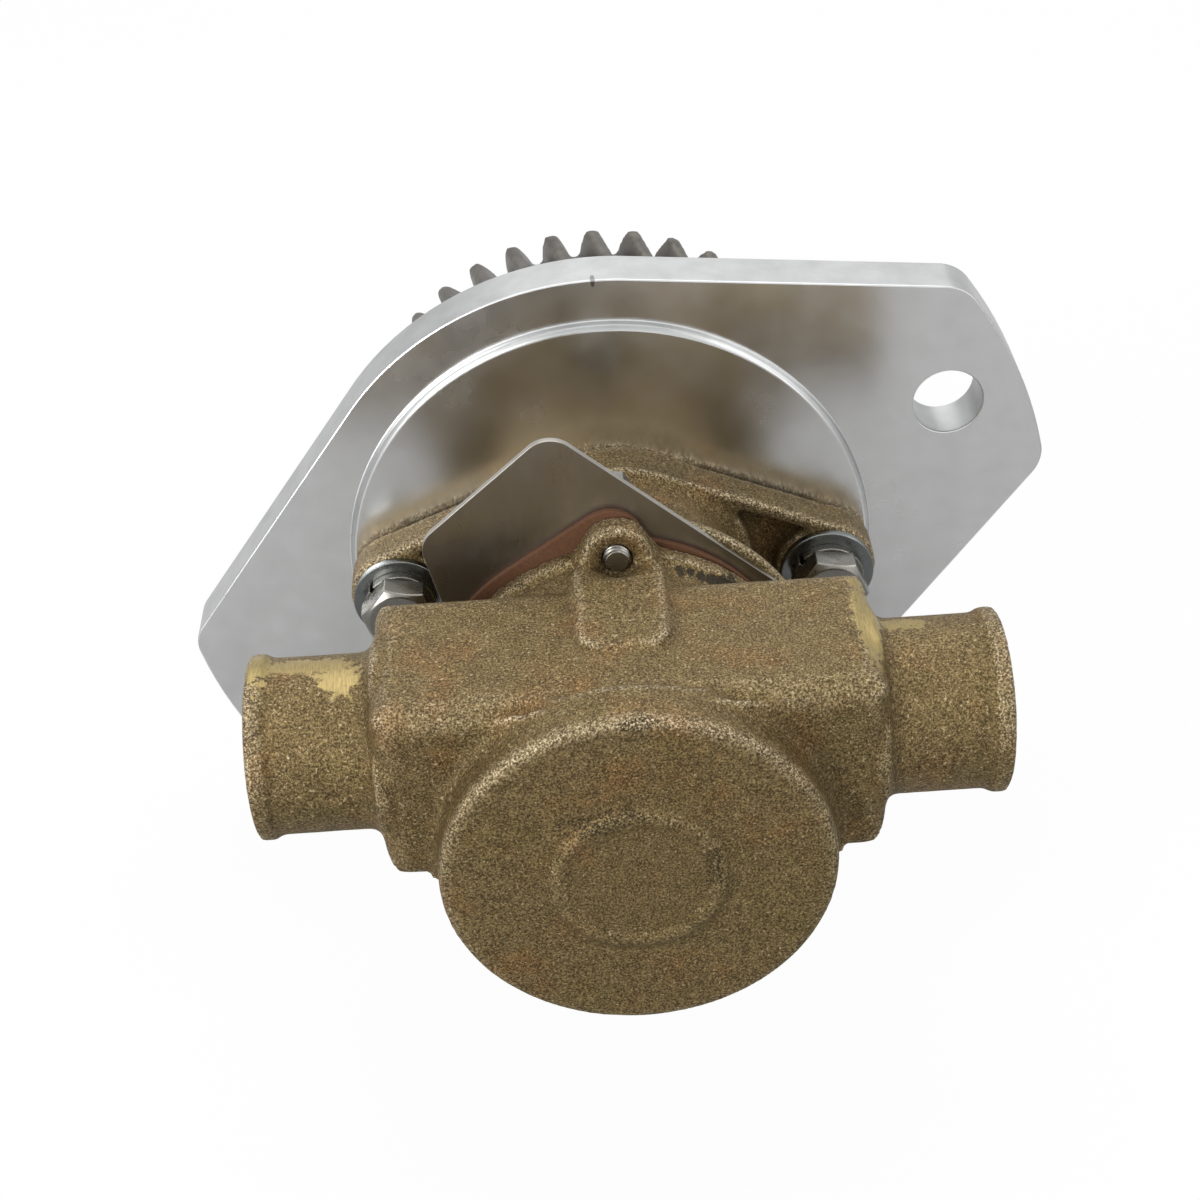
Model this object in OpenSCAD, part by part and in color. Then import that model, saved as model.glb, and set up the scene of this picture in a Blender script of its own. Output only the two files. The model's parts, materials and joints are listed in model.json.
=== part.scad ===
// Raw water pump: a flexible impeller pump on a two-bolt adapter plate, driven by a helical gear.
// X points right, Y runs along the shaft towards the gear and Z points up.
// The origin is on the shaft axis, on the rear (mounting) face of the adapter plate.

/* [Adapter plate] */
// Thickness of the plate
plate_t = 10; // [6:0.5:16]
// Radius of the middle of the plate's outline
plate_r = 60.6; // [56:0.2:66]
// Distance from each mounting bolt's axis to the end of its lug
lug_margin = 14.7; // [13:0.1:18]
// Radius of the lug corners
lug_corner_r = 8; // [4:0.5:10]
// Spacing of the two mounting bolts
bolt_spacing = 146; // [140:1:152]
// Diameter of the mounting holes
bolt_hole_d = 13.5; // [9:0.1:14]
// Tilt of the bolt line from level
bolt_angle = 24; // [0:1:40]
// Half the angle between the plate's two upper edges
edge_angle = 29.5; // [24:0.5:34]
// Diameter of the raised pad on the front face
pad_d = 104; // [98:1:110]
// Height of the raised pad
pad_h = 2; // [1:0.5:4]
// Diameter of the mounting pilot
pilot_d = 101.6; // [96:0.1:106]
// Height of the mounting pilot
pilot_h = 9.4; // [6:0.2:12]
// Width of the groove for the pilot's O-ring
o_ring_groove_w = 3.2; // [2.6:0.1:3.6]
// Cord diameter of the pilot's O-ring
o_ring_cord = 2.6; // [1.8:0.1:3]
// Edge bevels of the pad and the pilot
edge_bevel = 0.8; // [0.2:0.1:1.2]

/* [Bearing housing] */
// Radius of the housing's barrel
barrel_r = 25; // [24:0.5:27]
// Distance of each housing screw from the shaft axis
ear_x = 42; // [40:0.5:44]
// Radius of the two ears
ear_r = 9.8; // [9.4:0.1:11]
// Thickness of the eared flange
ear_t = 9; // [7:0.5:12]
// Radius of the housing's front flange
front_flange_r = 36.2; // [35.6:0.1:37]
// Thickness of the housing's front flange
front_flange_t = 4.5; // [3.5:0.1:6]
// Length of the screw bosses behind the front flange, from its front face
screw_boss_l = 11; // [9:0.5:12]
// Distance from the plate's pad to the wear plate
housing_l = 41.3; // [40.5:0.1:44]

/* [Wear plate and gasket] */
// Thickness of the wear plate
wear_t = 1.2; // [0.8:0.1:2]
// Radius of the wear plate where it covers the flange
wear_r = 34.2; // [33.6:0.1:36]
// Distance of the tab's upper left edge from the shaft axis
tab_reach = 48.6; // [42:0.2:52]
// Direction that the tab's upper left edge faces
tab_angle = 131; // [120:1:140]
// Distance of the tab's upper right edge from the shaft axis
tab_side = 34.7; // [34:0.1:37]
// Direction that the tab's upper right edge faces
tab_side_angle = 48.8; // [44:0.2:54]
// Corner radius of the tab
tab_corner_r = 5.4; // [3:0.2:7]
// Thickness of the gasket
gasket_t = 1.2; // [0.5:0.1:2]
// How far the gasket stands out past the flange
gasket_lip = 1.4; // [0:0.1:1.6]
// How far the gasket's outline sits to the left
gasket_shift = 0.8; // [0:0.1:1]

/* [Pump body] */
// Radius of the impeller chamber
chamber_r = 27; // [25:0.5:27.5]
// Depth of the impeller chamber
chamber_l = 46; // [40:1:47]
// Height of the flat cam above the shaft axis
cam_z = 22.8; // [21.5:0.1:24]
// Radius of the body's flange
body_flange_r = 32.4; // [32:0.1:33.4]
// Thickness of the body's flange
body_flange_t = 3.2; // [2.5:0.1:5]
// Outer radius of the body's barrel
body_r = 31.3; // [30.5:0.1:31.6]
// Radius of the front cap
cap_r = 33.1; // [32:0.1:34]
// Radius of the front cap's rounded edge
cap_edge_r = 1.8; // [1:0.2:3]
// Distance from the flange's joint face to the cap's face
body_l = 50.4; // [49.4:0.1:56]
// Radius of the shallow round boss on the cap
cap_boss_r = 14.2; // [12:0.1:18]
// Height of the shallow round boss on the cap
cap_boss_h = 1; // [0.4:0.1:1.6]
// Width of the raised rim round the dished middle of that boss
cap_rim = 1.5; // [1:0.1:3]
// Distance of the port axis in front of the joint face
port_back = 25.3; // [24:0.1:28]
// Height of the port axis above the shaft axis
port_z = 12.7; // [11:0.1:14]
// Width of the port block along the shaft
block_w = 34; // [32:0.5:35]
// Height of the port block
block_h = 35.7; // [34:0.1:37]
// Length of the port block along the port axis
block_l = 84.4; // [78:0.2:88]
// Corner radius of the port block's section
block_corner_r = 4.5; // [3:0.5:7]
// Radius of the port block's end edges
block_end_r = 4; // [2:0.5:6]
// Outer diameter of the hose spigots
spigot_d = 30; // [28:0.5:31]
// Bore of the hose spigots
port_bore_d = 24; // [20:0.5:25]
// Distance between the ends of the two spigots
port_span = 126.6; // [120:0.2:140]
// Height of the bead at the end of each spigot
bead_h = 0.8; // [0.4:0.1:1.2]
// Radius of the circle that the body screws stand on
screw_circle_r = 32.4; // [31.8:0.1:33]
// Radius of the body's screw ears
screw_ear_r = 6; // [5.6:0.1:6.6]
// Thickness of the screw ears
screw_ear_t = 4.7; // [4:0.1:5]
// Width of the flat pad in front of the top ear
top_pad_w = 16.2; // [14:0.2:18]
// Height of that pad above the port block
top_pad_h = 1.4; // [0.6:0.1:2]

/* [Fasteners] */
// Number of body screws
body_screw_count = 3; // [3:1:4]
// Diameter of the body screws
body_screw_d = 5; // [4:0.5:5]
// Length of the body screws under the head
body_screw_l = 20; // [19:0.5:24]
// Diameter of the housing screws
housing_screw_d = 8; // [6:0.5:8]
// Length of the housing screws under the head
housing_screw_l = 20; // [16:1:22]
// Outer diameter of the flat washers
washer_d = 18.4; // [16:0.2:19]

/* [Shaft line] */
// Diameter of the shaft at the bearings
shaft_d = 17; // [16:0.5:18]
// Diameter of the shaft at the impeller
impeller_shaft_d = 14; // [12:0.5:15]
// Bearing outer diameter
bearing_od = 40; // [39:0.5:42]
// Bearing width
bearing_w = 12; // [11:0.5:13]
// Diameter of the bearing balls
ball_d = 6.75; // [6:0.05:7]
// Number of balls in each bearing
ball_count = 8; // [6:1:9]
// Length of the spacer between the bearings
spacer_l = 5; // [4:0.5:6]
// Number of impeller vanes
vane_count = 8; // [6:1:10]
// Thickness of an impeller vane at its root
vane_t = 3.4; // [2.4:0.1:4]
// Running gap between the impeller and the chamber
impeller_gap = 0.3; // [0.2:0.05:0.5]

/* [Drive gear] */
// Number of gear teeth
gear_teeth = 37; // [30:1:37]
// Normal module of the gear
gear_module = 2.54; // [2:0.02:2.54]
// Helix angle of the teeth
helix_angle = 12; // [0:1:20]
// Share of the pitch that a tooth takes up at the pitch circle
tooth_share = 0.54; // [0.48:0.01:0.55]
// Face width of the gear
gear_w = 18.7; // [16:0.1:24]
// Distance from the plate's rear face to the gear's front face
gear_back = 14.2; // [13:0.2:18]

/* [Hidden] */
$fn = 72;
// Small overlap that makes cuts clean
cut = 1;
// Clearance of a fitted diameter, measured on the radius
fit_gap = 0.05;
// Clearance between parts that turn past each other
run_gap = 0.1;
// Radial clearance of screws in plain holes
screw_gap = 0.25;
// Wall or land that two meeting cast solids share
weld = 2;
// How far a straight edge lies inside the arcs that it runs into, so that the two cross
lap = 0.02;

pad_y = -plate_t - pad_h;
lug_r = bolt_spacing / 2 + lug_margin;
ear_y = pad_y - ear_t;
wear_y = pad_y - housing_l;
gasket_y = wear_y - wear_t;
joint_y = gasket_y - gasket_t;
flange_y = joint_y - body_flange_t;
cap_y = joint_y - body_l;
port_y = joint_y - port_back;
block_front_y = port_y - block_w / 2;
block_top_z = port_z + block_h / 2;
boss_back_y = wear_y + screw_boss_l;
screw_ear_y = joint_y - screw_ear_t;
barrel_fillet_r = 3;
ear_middle_r = barrel_r + 1;
pocket_rim = 2.6;
pocket_depth = 4;
relief = 0.8;
// Draft on the rim of the housing's front flange
flange_draft = 1.4;
screw_boss_r = 6.2;
top_pad_l = 26;
top_pad_corner_r = 6;
top_pad_edge_r = 1.4;
cap_fillet_r = 2.4;
dish = 0.5;

// The tab's left edge: its turn from the upper left edge, distance from the axis and length
tab_turn = 62;
tab_left = 25.8;
tab_left_l = 18;
// Length of the tab's upper right edge past the point nearest the axis
tab_right_l = 15;

body_washer_t = 1.2;
body_washer_r = 4.6;
body_head_af = 8;
body_head_h = 3.5;
body_seat_y = boss_back_y + body_washer_t;
// Spot face round the end of each body screw
spot_gap = 1.7;
spot_l = 0.3;
spot_depth = 0.4;
// Where the flange's edge turns out towards a screw ear, as an angle from the ear
ear_neck = 14;
gasket_ear_lip = 0.9;
body_screw_angles = [for (i = [0:body_screw_count - 1]) 90 + i * 360 / body_screw_count];

washer_t = 1.6;
lock_washer_t = 2;
lock_washer_r = 7;
housing_head_af = 13;
housing_head_h = 5.3;
housing_seat_y = ear_y - washer_t - lock_washer_t;
tapped_depth = 9;
// Turn of each hex head about its own axis: right, then left
housing_head_turn = [-8, -12];

bearing_pitch_r = (shaft_d + bearing_od) / 4;
race_groove_r = ball_d * 0.52;
cage_t = 1.6;
cage_w = ball_d * 1.36;
bearing_r = bearing_od / 2;
rear_bearing_y = 0;
front_bearing_y = rear_bearing_y - bearing_w - spacer_l;
bearing_stop_y = front_bearing_y - bearing_w / 2;
bearing_end_y = rear_bearing_y + bearing_w / 2;
spacer_t = 3;
spacer_r = shaft_d / 2 + spacer_t;
circlip_t = 1.75;
circlip_groove = 1.2;
circlip_w = 2.4;
circlip_lug_r = 2.6;
circlip_lug_x = 5;
circlip_hole_r = 1;
shaft_circlip_t = 1;
shaft_circlip_groove = 0.7;
shaft_circlip_w = 2;
oil_seal_w = 7;
case_t = 1;
lip_t = 1.2;
lip_root = 4.5;
lip_l = 6;
oil_seal_r = bearing_r - 5;
oil_seal_gap = 1.5;
oil_seal_y = bearing_stop_y - oil_seal_gap - oil_seal_w;
weep_l = 5;
weep_y = oil_seal_y - weep_l;
weep_r = oil_seal_r - oil_seal_gap;
weep_hole_r = 3;
slinger_gap = 1.6;
slinger_r = weep_r - slinger_gap;
slinger_t = 2;
web_t = 1.5;
seat_pocket_y = weep_y - web_t;
seal_bore_r = 12.6;
seat_r = 11;
// Radial room between the seat and the shaft, and the width of the cup behind the seat
seat_bore_gap = 0.6;
cup_back_w = 1.5;
seat_w = 4.5;
cup_w = 5;
seal_face_w = 3;
seal_face_r = 10.4;
seal_back_y = seat_pocket_y - cup_w - run_gap;
bellows_start = 0.6;
bellows_foot = 3;
bellows_end = 1;
bellows_t = 1.2;
bellows_fold = 0.5;
wire_r = 0.6;

shaft_r = shaft_d / 2;
nose_r = impeller_shaft_d / 2;
thread_r = 8;
step_y = weep_y - web_t / 2;
gear_end_y = gear_back + gear_w;
gear_washer_t = 2.5;
gear_washer_r = 14;
nut_af = 24;
nut_h = 8;
shaft_end_y = gear_end_y + gear_washer_t + nut_h + 2.5;
key_w = 5;
key_depth = 3;
key_h = 5;
gear_key_l = 14;
gear_key_y = gear_back + 2;

impeller_front_y = joint_y - chamber_l + impeller_gap;
impeller_back_y = gasket_y - impeller_gap;
impeller_l = impeller_back_y - impeller_front_y;
insert_r = 10.5;
rubber_hub_r = 14.5;
vane_tip_r = 1.7;
// How far a bent vane may lean back, and the steps in which the room for it is looked at
lean_room = 14;
lean_step = 7;
hub_recess = 4;
hub_front_y = impeller_front_y + hub_recess;
impeller_key_l = 26;
impeller_key_y = hub_front_y + 5;
nose_y = impeller_front_y + 1.2;
nose_clip_t = 1;
nose_clip_groove = 0.6;
nose_clip_w = 1.8;
nose_clip_y = hub_front_y - 0.1 - nose_clip_t;

gear_pitch_r = gear_module * gear_teeth / 2 / cos(helix_angle);
gear_tip_r = gear_pitch_r + gear_module;
gear_root_r = gear_pitch_r - 1.25 * gear_module;
pressure_angle = atan(tan(20) / cos(helix_angle));
gear_base_r = gear_pitch_r * cos(pressure_angle);
// Turn of a tooth from one end of the gear to the other
gear_twist = gear_w * tan(helix_angle) / gear_pitch_r * 180 / PI;
tip_round = 0.45;
root_round = 0.35;
gear_rim_t = 5;
gear_hub_r = 13;
gear_web_inset = 5;
tooth_phase = 89.65;

function polar(r, a) = [r * cos(a), r * sin(a)];
function inv(a) = tan(a) * 180 / PI - a;

// A flat outline drawn in X and Z, made solid from y0 to y1
module along_y(y0, y1) {
    translate([0, y1, 0]) rotate([90, 0, 0]) linear_extrude(y1 - y0) children();
}

// A profile of radius and Y position, turned about the shaft axis
module turned() {
    rotate([-90, 0, 0]) rotate_extrude() children();
}

module rod(r, y0, y1) {
    along_y(y0, y1) circle(r);
}

module ring(r_out, r_in, y0, y1) {
    along_y(y0, y1) difference() {
        circle(r_out);
        circle(r_in);
    }
}

module rounded_rect(x0, x1, z0, z1, r) {
    translate([x0 + r, z0]) square([x1 - x0 - 2 * r, z1 - z0]);
    translate([x0, z0 + r]) square([x1 - x0, z1 - z0 - 2 * r]);
    for (x = [x0 + r, x1 - r], z = [z0 + r, z1 - r]) translate([x, z]) circle(r);
}

// A concave fillet ring of radius r between a shaft of radius rs and a face at y, on the side s
module fillet_ring(rs, y, r, s) {
    turned() difference() {
        translate([rs - weld, min(y, y + s * r)]) square([r + weld, r]);
        translate([rs + r, y + s * r]) circle(r);
    }
}

// A rounded convex outline through corner circles of radius r, listed anticlockwise
module rounded_outline(centres, r) {
    n = len(centres);
    function side(i) = centres[(i + 1) % n] - centres[i];
    function out(i) = [side(i)[1], -side(i)[0]] / norm(side(i)) * (r - lap);
    polygon([for (i = [0:n - 1], p = [centres[i] + out(i), centres[(i + 1) % n] + out(i)]) p]);
    for (c = centres) translate(c) circle(r);
}

// The plate's outline: a round middle and two lugs, with straight edges tangent to the middle
module plate_outline() {
    inner = plate_r - lug_corner_r;
    reach = lug_r - lug_corner_r;
    swing = acos(inner / reach);
    function corner(side, up) =
        polar(reach, bolt_angle + 180 * side + up * (90 - edge_angle) - up * swing);
    function edge(side, up) = bolt_angle + 180 * side + up * (90 - edge_angle);
    circle(plate_r);
    for (side = [0, 1]) {
        arc = 90 - edge_angle - swing;
        polygon([
            polar(plate_r - lap, edge(side, -1)),
            corner(side, -1) + polar(lug_corner_r - lap, edge(side, -1)),
            polar(lug_r - lap, bolt_angle + 180 * side - arc),
            polar(lug_r - lap, bolt_angle + 180 * side + arc),
            corner(side, 1) + polar(lug_corner_r - lap, edge(side, 1)),
            polar(plate_r - lap, edge(side, 1))
        ]);
        for (up = [-1, 1]) translate(corner(side, up)) circle(lug_corner_r);
        intersection() {
            circle(lug_r - lap);
            polygon([
                [0, 0],
                polar(lug_r / cos(arc), bolt_angle + 180 * side - arc),
                polar(lug_r / cos(arc), bolt_angle + 180 * side + arc)
            ]);
        }
    }
}

module adapter_plate() {
    groove_y = (pilot_h - o_ring_groove_w) / 2;
    color("gainsboro") difference() {
        union() {
            along_y(-plate_t, 0) plate_outline();
            turned() polygon([
                [0, pad_y], [pad_d / 2 - edge_bevel, pad_y], [pad_d / 2, pad_y + edge_bevel],
                [pad_d / 2, -plate_t + weld], [0, -plate_t + weld]
            ]);
            turned() polygon([
                [0, -weld], [pilot_d / 2, -weld], [pilot_d / 2, pilot_h - edge_bevel],
                [pilot_d / 2 - edge_bevel, pilot_h], [0, pilot_h]
            ]);
        }
        rod(barrel_r + fit_gap, pad_y - cut, pilot_h + cut);
        ring(pilot_d / 2 + cut, pilot_d / 2 - o_ring_cord - 4 * fit_gap, groove_y,
            groove_y + o_ring_groove_w);
        for (s = [0, 180]) {
            along_y(-plate_t - cut, cut) translate(polar(bolt_spacing / 2, bolt_angle + s))
                circle(bolt_hole_d / 2);
            along_y(pad_y - cut, pad_y + tapped_depth) translate(polar(ear_x, s))
                circle(housing_screw_d / 2 + fit_gap);
        }
    }
}

module pilot_o_ring() {
    color("#202020") turned() translate([pilot_d / 2 - o_ring_cord / 2 - fit_gap, pilot_h / 2])
        circle(o_ring_cord / 2);
}

// The eared flange: two ears joined to the middle by tangent edges, drawn smaller by inset
module ear_outline(inset = 0) {
    middle = ear_middle_r - inset - lap;
    ear = ear_r - inset - lap;
    lean = asin((ear_middle_r - ear_r) / ear_x);
    circle(middle + lap);
    polygon([
        polar(middle, 90 - lean), polar(middle, 90 + lean),
        [-ear_x, 0] + polar(ear, 90 + lean), [-ear_x, 0] + polar(ear, 270 - lean),
        polar(middle, 270 - lean), polar(middle, 270 + lean),
        [ear_x, 0] + polar(ear, 270 + lean), [ear_x, 0] + polar(ear, 90 - lean)
    ]);
    for (x = [-ear_x, ear_x]) translate([x, 0]) circle(ear + lap);
}

// What lies between the middle and the two screw bosses
module between_bosses(middle, boss) {
    difference() {
        children();
        circle(middle);
        for (x = [-ear_x, ear_x]) translate([x, 0]) circle(boss);
    }
}

module bearing_housing() {
    color("#8a7350") difference() {
        union() {
            turned() polygon([
                [0, wear_y], [front_flange_r, wear_y], [front_flange_r, wear_y + front_flange_t / 3],
                [front_flange_r - flange_draft, wear_y + front_flange_t],
                [0, wear_y + front_flange_t]
            ]);
            rod(barrel_r, wear_y, pilot_h);
            along_y(ear_y, pad_y) ear_outline();
            along_y(wear_y + weld, boss_back_y) for (a = body_screw_angles) rotate(a) {
                translate([screw_circle_r, 0]) circle(screw_boss_r - flange_draft / 2);
                translate([0, -screw_boss_r / 2]) square([screw_circle_r, screw_boss_r]);
            }
            fillet_ring(barrel_r, wear_y + front_flange_t, barrel_fillet_r, 1);
            fillet_ring(barrel_r, ear_y, barrel_fillet_r, -1);
        }
        rod(seal_bore_r, wear_y - cut, seat_pocket_y);
        rod(seat_r - 1, wear_y, weep_y + cut);
        rod(weep_r, weep_y, oil_seal_y + cut);
        rod(oil_seal_r + fit_gap, oil_seal_y, bearing_stop_y + cut);
        rod(bearing_r + fit_gap, bearing_stop_y, pilot_h + cut);
        ring(bearing_r + circlip_groove, bearing_r - cut, bearing_end_y + fit_gap,
            bearing_end_y + fit_gap + circlip_t + 2 * fit_gap);
        translate([0, (weep_y + oil_seal_y) / 2, -weep_r / 2]) mirror([0, 0, 1])
            cylinder(r = weep_hole_r, h = barrel_r);
        along_y(wear_y - cut, boss_back_y + cut) for (a = body_screw_angles)
            translate(polar(screw_circle_r, a)) circle(body_screw_d / 2 + screw_gap);
        along_y(ear_y - cut, pad_y + cut) for (x = [-ear_x, ear_x])
            translate([x, 0]) circle(housing_screw_d / 2 + 2 * screw_gap);
        along_y(ear_y - cut, ear_y + pocket_depth)
            between_bosses(barrel_r + barrel_fillet_r, ear_r) ear_outline(pocket_rim);
        along_y(pad_y - relief, pad_y + cut)
            between_bosses(ear_middle_r, ear_r - 1) square(4 * ear_x, center = true);
    }
}

// A hexagon screw along Y with its head towards the side s of its seat
module hex_screw(d, l, af, h, seat_y, s, turn = 0) {
    top_r = 0.45 * af;
    bevel_h = (af - top_r) * tan(30);
    rod(d / 2, min(seat_y, seat_y - s * l), max(seat_y, seat_y - s * l));
    intersection() {
        along_y(min(seat_y, seat_y + s * h), max(seat_y, seat_y + s * h)) rotate(turn)
            circle(af / sqrt(3), $fn = 6);
        turned() polygon([
            [0, seat_y], [af, seat_y], [af, seat_y + s * (h - bevel_h)], [top_r, seat_y + s * h],
            [0, seat_y + s * h]
        ]);
    }
}

module housing_screws() {
    color("#b8bcc0") for (i = [0, 1]) translate([ear_x * (1 - 2 * i), 0, 0])
        hex_screw(housing_screw_d, housing_screw_l, housing_head_af, housing_head_h,
            housing_seat_y, -1, housing_head_turn[i]);
}

module housing_washers() {
    color("#c4c8cc") for (x = [-ear_x, ear_x]) translate([x, 0, 0])
        ring(washer_d / 2, housing_screw_d / 2 + screw_gap, ear_y - washer_t, ear_y);
}

// A split lock washer: a ring with one radial slot
module lock_washer(r_out, r_in, y0, y1, slot_angle) {
    difference() {
        ring(r_out, r_in, y0, y1);
        along_y(y0 - cut, y1 + cut) rotate(slot_angle) translate([0, -r_out * 0.08])
            square([r_out + cut, r_out * 0.16]);
    }
}

module housing_lock_washers() {
    color("#aab0b4") for (x = [-ear_x, ear_x]) translate([x, 0, 0])
        lock_washer(lock_washer_r, housing_screw_d / 2 + screw_gap, housing_seat_y,
            ear_y - washer_t, 140);
}

// The wear plate covers the flange and has a rounded tab that stands out at the upper left
module wear_outline() {
    r = tab_corner_r;
    upper_left = polar(1, tab_angle);
    upper_right = polar(1, tab_side_angle);
    left = polar(1, tab_angle + tab_turn);
    // Where two edges meet, each given by its normal and its distance from the axis
    function meet(n1, d1, n2, d2) =
        [d1 * n2[1] - d2 * n1[1], d2 * n1[0] - d1 * n2[0]] / (n1[0] * n2[1] - n2[0] * n1[1]);
    top = meet(upper_right, tab_side - r, upper_left, tab_reach - r);
    low_left = meet(upper_left, tab_reach - r, left, tab_left - r);
    // The end of the straight upper right edge, and two corners that lie within the disc
    right = polar(tab_side - r, tab_side_angle) + polar(tab_right_l, tab_side_angle - 90);
    circle(wear_r);
    rounded_outline([top, low_left, low_left + polar(tab_left_l, tab_angle + tab_turn + 90),
        polar(wear_r / 2, -30), right], r);
}

module wear_plate() {
    color("#8d8d8a") difference() {
        along_y(gasket_y, wear_y) wear_outline();
        rod(seal_bore_r, gasket_y - cut, wear_y + cut);
        along_y(gasket_y - cut, wear_y + cut) for (a = body_screw_angles)
            translate(polar(screw_circle_r, a)) circle(body_screw_d / 2 + screw_gap);
    }
}

// The body's flange: a disc with an ear for each screw
module flange_outline(grow = 0, ear_grow = 0) {
    disc = body_flange_r + grow;
    ear = screw_ear_r + ear_grow;
    inside = 0.1;
    circle(disc);
    for (a = body_screw_angles) rotate(a) {
        translate([screw_circle_r, 0]) circle(ear);
        polygon([
            [screw_circle_r, 0] + polar(ear - inside, 65), polar(disc - inside, ear_neck), [0, 0],
            polar(disc - inside, -ear_neck), [screw_circle_r, 0] + polar(ear - inside, -65)
        ]);
    }
}

// The gasket's outline: on one side of each ear its edge runs straight to the disc
module gasket_outline() {
    disc = body_flange_r + gasket_lip - lap;
    ear = screw_ear_r + gasket_ear_lip - lap;
    lean = acos((disc - ear) / screw_circle_r);
    flange_outline(gasket_lip, gasket_ear_lip);
    for (a = body_screw_angles) rotate(a)
        polygon([[0, 0], [screw_circle_r, 0], [screw_circle_r, 0] + polar(ear, lean), polar(disc, lean)]);
}

module body_gasket() {
    color("#6f4526") difference() {
        along_y(joint_y, gasket_y) translate([-gasket_shift, 0]) gasket_outline();
        rod(chamber_r + fit_gap, joint_y - cut, gasket_y + cut);
        along_y(joint_y - cut, gasket_y + cut) for (a = body_screw_angles)
            translate(polar(screw_circle_r, a)) circle(body_screw_d / 2 + screw_gap);
    }
}

// A block with each edge rounded: rx, ry and rz are the radii seen along X, Y and Z
module rounded_block(x, y, z, rx, ry, rz) {
    intersection() {
        rotate([90, 0, 90]) translate([0, 0, x[0]]) linear_extrude(x[1] - x[0])
            rounded_rect(y[0], y[1], z[0], z[1], rx);
        along_y(y[0], y[1]) rounded_rect(x[0], x[1], z[0], z[1], ry);
        translate([0, 0, z[0]]) linear_extrude(z[1] - z[0])
            rounded_rect(x[0], x[1], y[0], y[1], rz);
    }
}

// The port block: a square bar across the body with every edge rounded
module port_block() {
    rounded_block([-block_l / 2, block_l / 2], [block_front_y, block_front_y + block_w],
        [block_top_z - block_h, block_top_z], block_corner_r, block_end_r, block_end_r);
}

// The flat pad that runs forward from the top screw ear
module top_pad() {
    rounded_block([-top_pad_w / 2, top_pad_w / 2], [flange_y - top_pad_l, flange_y + weld / 2],
        [port_z, block_top_z + top_pad_h], top_pad_edge_r, top_pad_edge_r, top_pad_corner_r);
}

// One hose spigot with a root fillet and an end bead, on the side s
module spigot(s) {
    r = spigot_d / 2;
    root = block_l / 2;
    tip = port_span / 2;
    bead_w = 3;
    fillet = 2.5;
    translate([0, port_y, port_z]) rotate([0, s * 90, 0]) rotate_extrude() {
        translate([0, root - 2 * block_end_r]) square([r, tip - root + 2 * block_end_r - 0.6]);
        translate([0, tip - bead_w]) square([r - 0.6 + bead_h, bead_w]);
        translate([0, tip - bead_w + 0.6]) square([r + bead_h, bead_w - 1.2]);
        for (y = [tip - bead_w + 0.6, tip - 0.6]) translate([r + bead_h - 0.6, y]) circle(0.6);
        difference() {
            translate([r - weld, root - weld]) square([fillet + weld, fillet + weld]);
            translate([r + fillet, root + fillet]) circle(fillet);
        }
    }
}

module cap() {
    e = cap_edge_r;
    back = block_front_y + weld;
    turned() {
        translate([0, cap_y]) square([cap_r - e, back - cap_y]);
        translate([0, cap_y + e]) square([cap_r, back - cap_y - e]);
        translate([cap_r - e, cap_y + e]) circle(e);
        polygon([
            [0, cap_y - cap_boss_h], [cap_boss_r, cap_y - cap_boss_h],
            [cap_boss_r + cap_boss_h, cap_y], [cap_boss_r, cap_y + weld], [0, cap_y + weld]
        ]);
    }
    // The fillet where the cap grows out of the port block
    intersection() {
        fillet_ring(cap_r, block_front_y, cap_fillet_r, -1);
        along_y(cap_y, back) rounded_rect(-block_l / 2, block_l / 2,
            block_top_z - block_h, block_top_z, block_end_r + cap_fillet_r);
    }
}

module chamber_outline() {
    intersection() {
        circle(chamber_r);
        translate([-2 * chamber_r, cam_z - 3 * chamber_r])
            square([4 * chamber_r, 3 * chamber_r]);
    }
}

module pump_body() {
    color("#7d6846") difference() {
        union() {
            along_y(flange_y, joint_y) flange_outline();
            rod(body_r, block_front_y, joint_y);
            cap();
            port_block();
            spigot(-1);
            spigot(1);
            fillet_ring(body_r, flange_y, body_flange_r - body_r, -1);
            top_pad();
            along_y(screw_ear_y, flange_y + weld / 2) for (a = body_screw_angles) rotate(a) {
                translate([screw_circle_r, 0]) circle(screw_ear_r);
                translate([0, -screw_ear_r]) square([screw_circle_r, 2 * screw_ear_r]);
            }
        }
        along_y(joint_y - chamber_l, joint_y + cut) chamber_outline();
        for (s = [-1, 1]) translate([s * chamber_r * 0.7, port_y, port_z]) rotate([0, s * 90, 0])
            cylinder(d = port_bore_d, h = port_span);
        along_y(screw_ear_y - cut, joint_y + cut) for (a = body_screw_angles)
            translate(polar(screw_circle_r, a)) circle(body_screw_d / 2 + fit_gap);
        along_y(body_seat_y - body_screw_l - spot_l, screw_ear_y + spot_depth)
            for (a = body_screw_angles)
                translate(polar(screw_circle_r, a)) circle(body_screw_d / 2 + spot_gap);
        turned() polygon([
            [0, cap_y - cap_boss_h - cut], [cap_boss_r - cap_rim, cap_y - cap_boss_h - cut],
            [cap_boss_r - cap_rim, cap_y - cap_boss_h],
            [cap_boss_r - cap_rim - dish, cap_y - cap_boss_h + dish],
            [0, cap_y - cap_boss_h + dish]
        ]);
    }
}

module body_screws() {
    color("#c9ccce") for (a = body_screw_angles) rotate([0, 90 - a, 0])
        translate([0, 0, screw_circle_r]) hex_screw(body_screw_d, body_screw_l, body_head_af,
            body_head_h, body_seat_y, 1, 0);
}

module body_lock_washers() {
    color("#b4b8ba") for (a = body_screw_angles) rotate([0, 90 - a, 0])
        translate([0, 0, screw_circle_r]) lock_washer(body_washer_r, body_screw_d / 2 + 0.1,
            boss_back_y, body_seat_y, 60);
}

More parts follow.
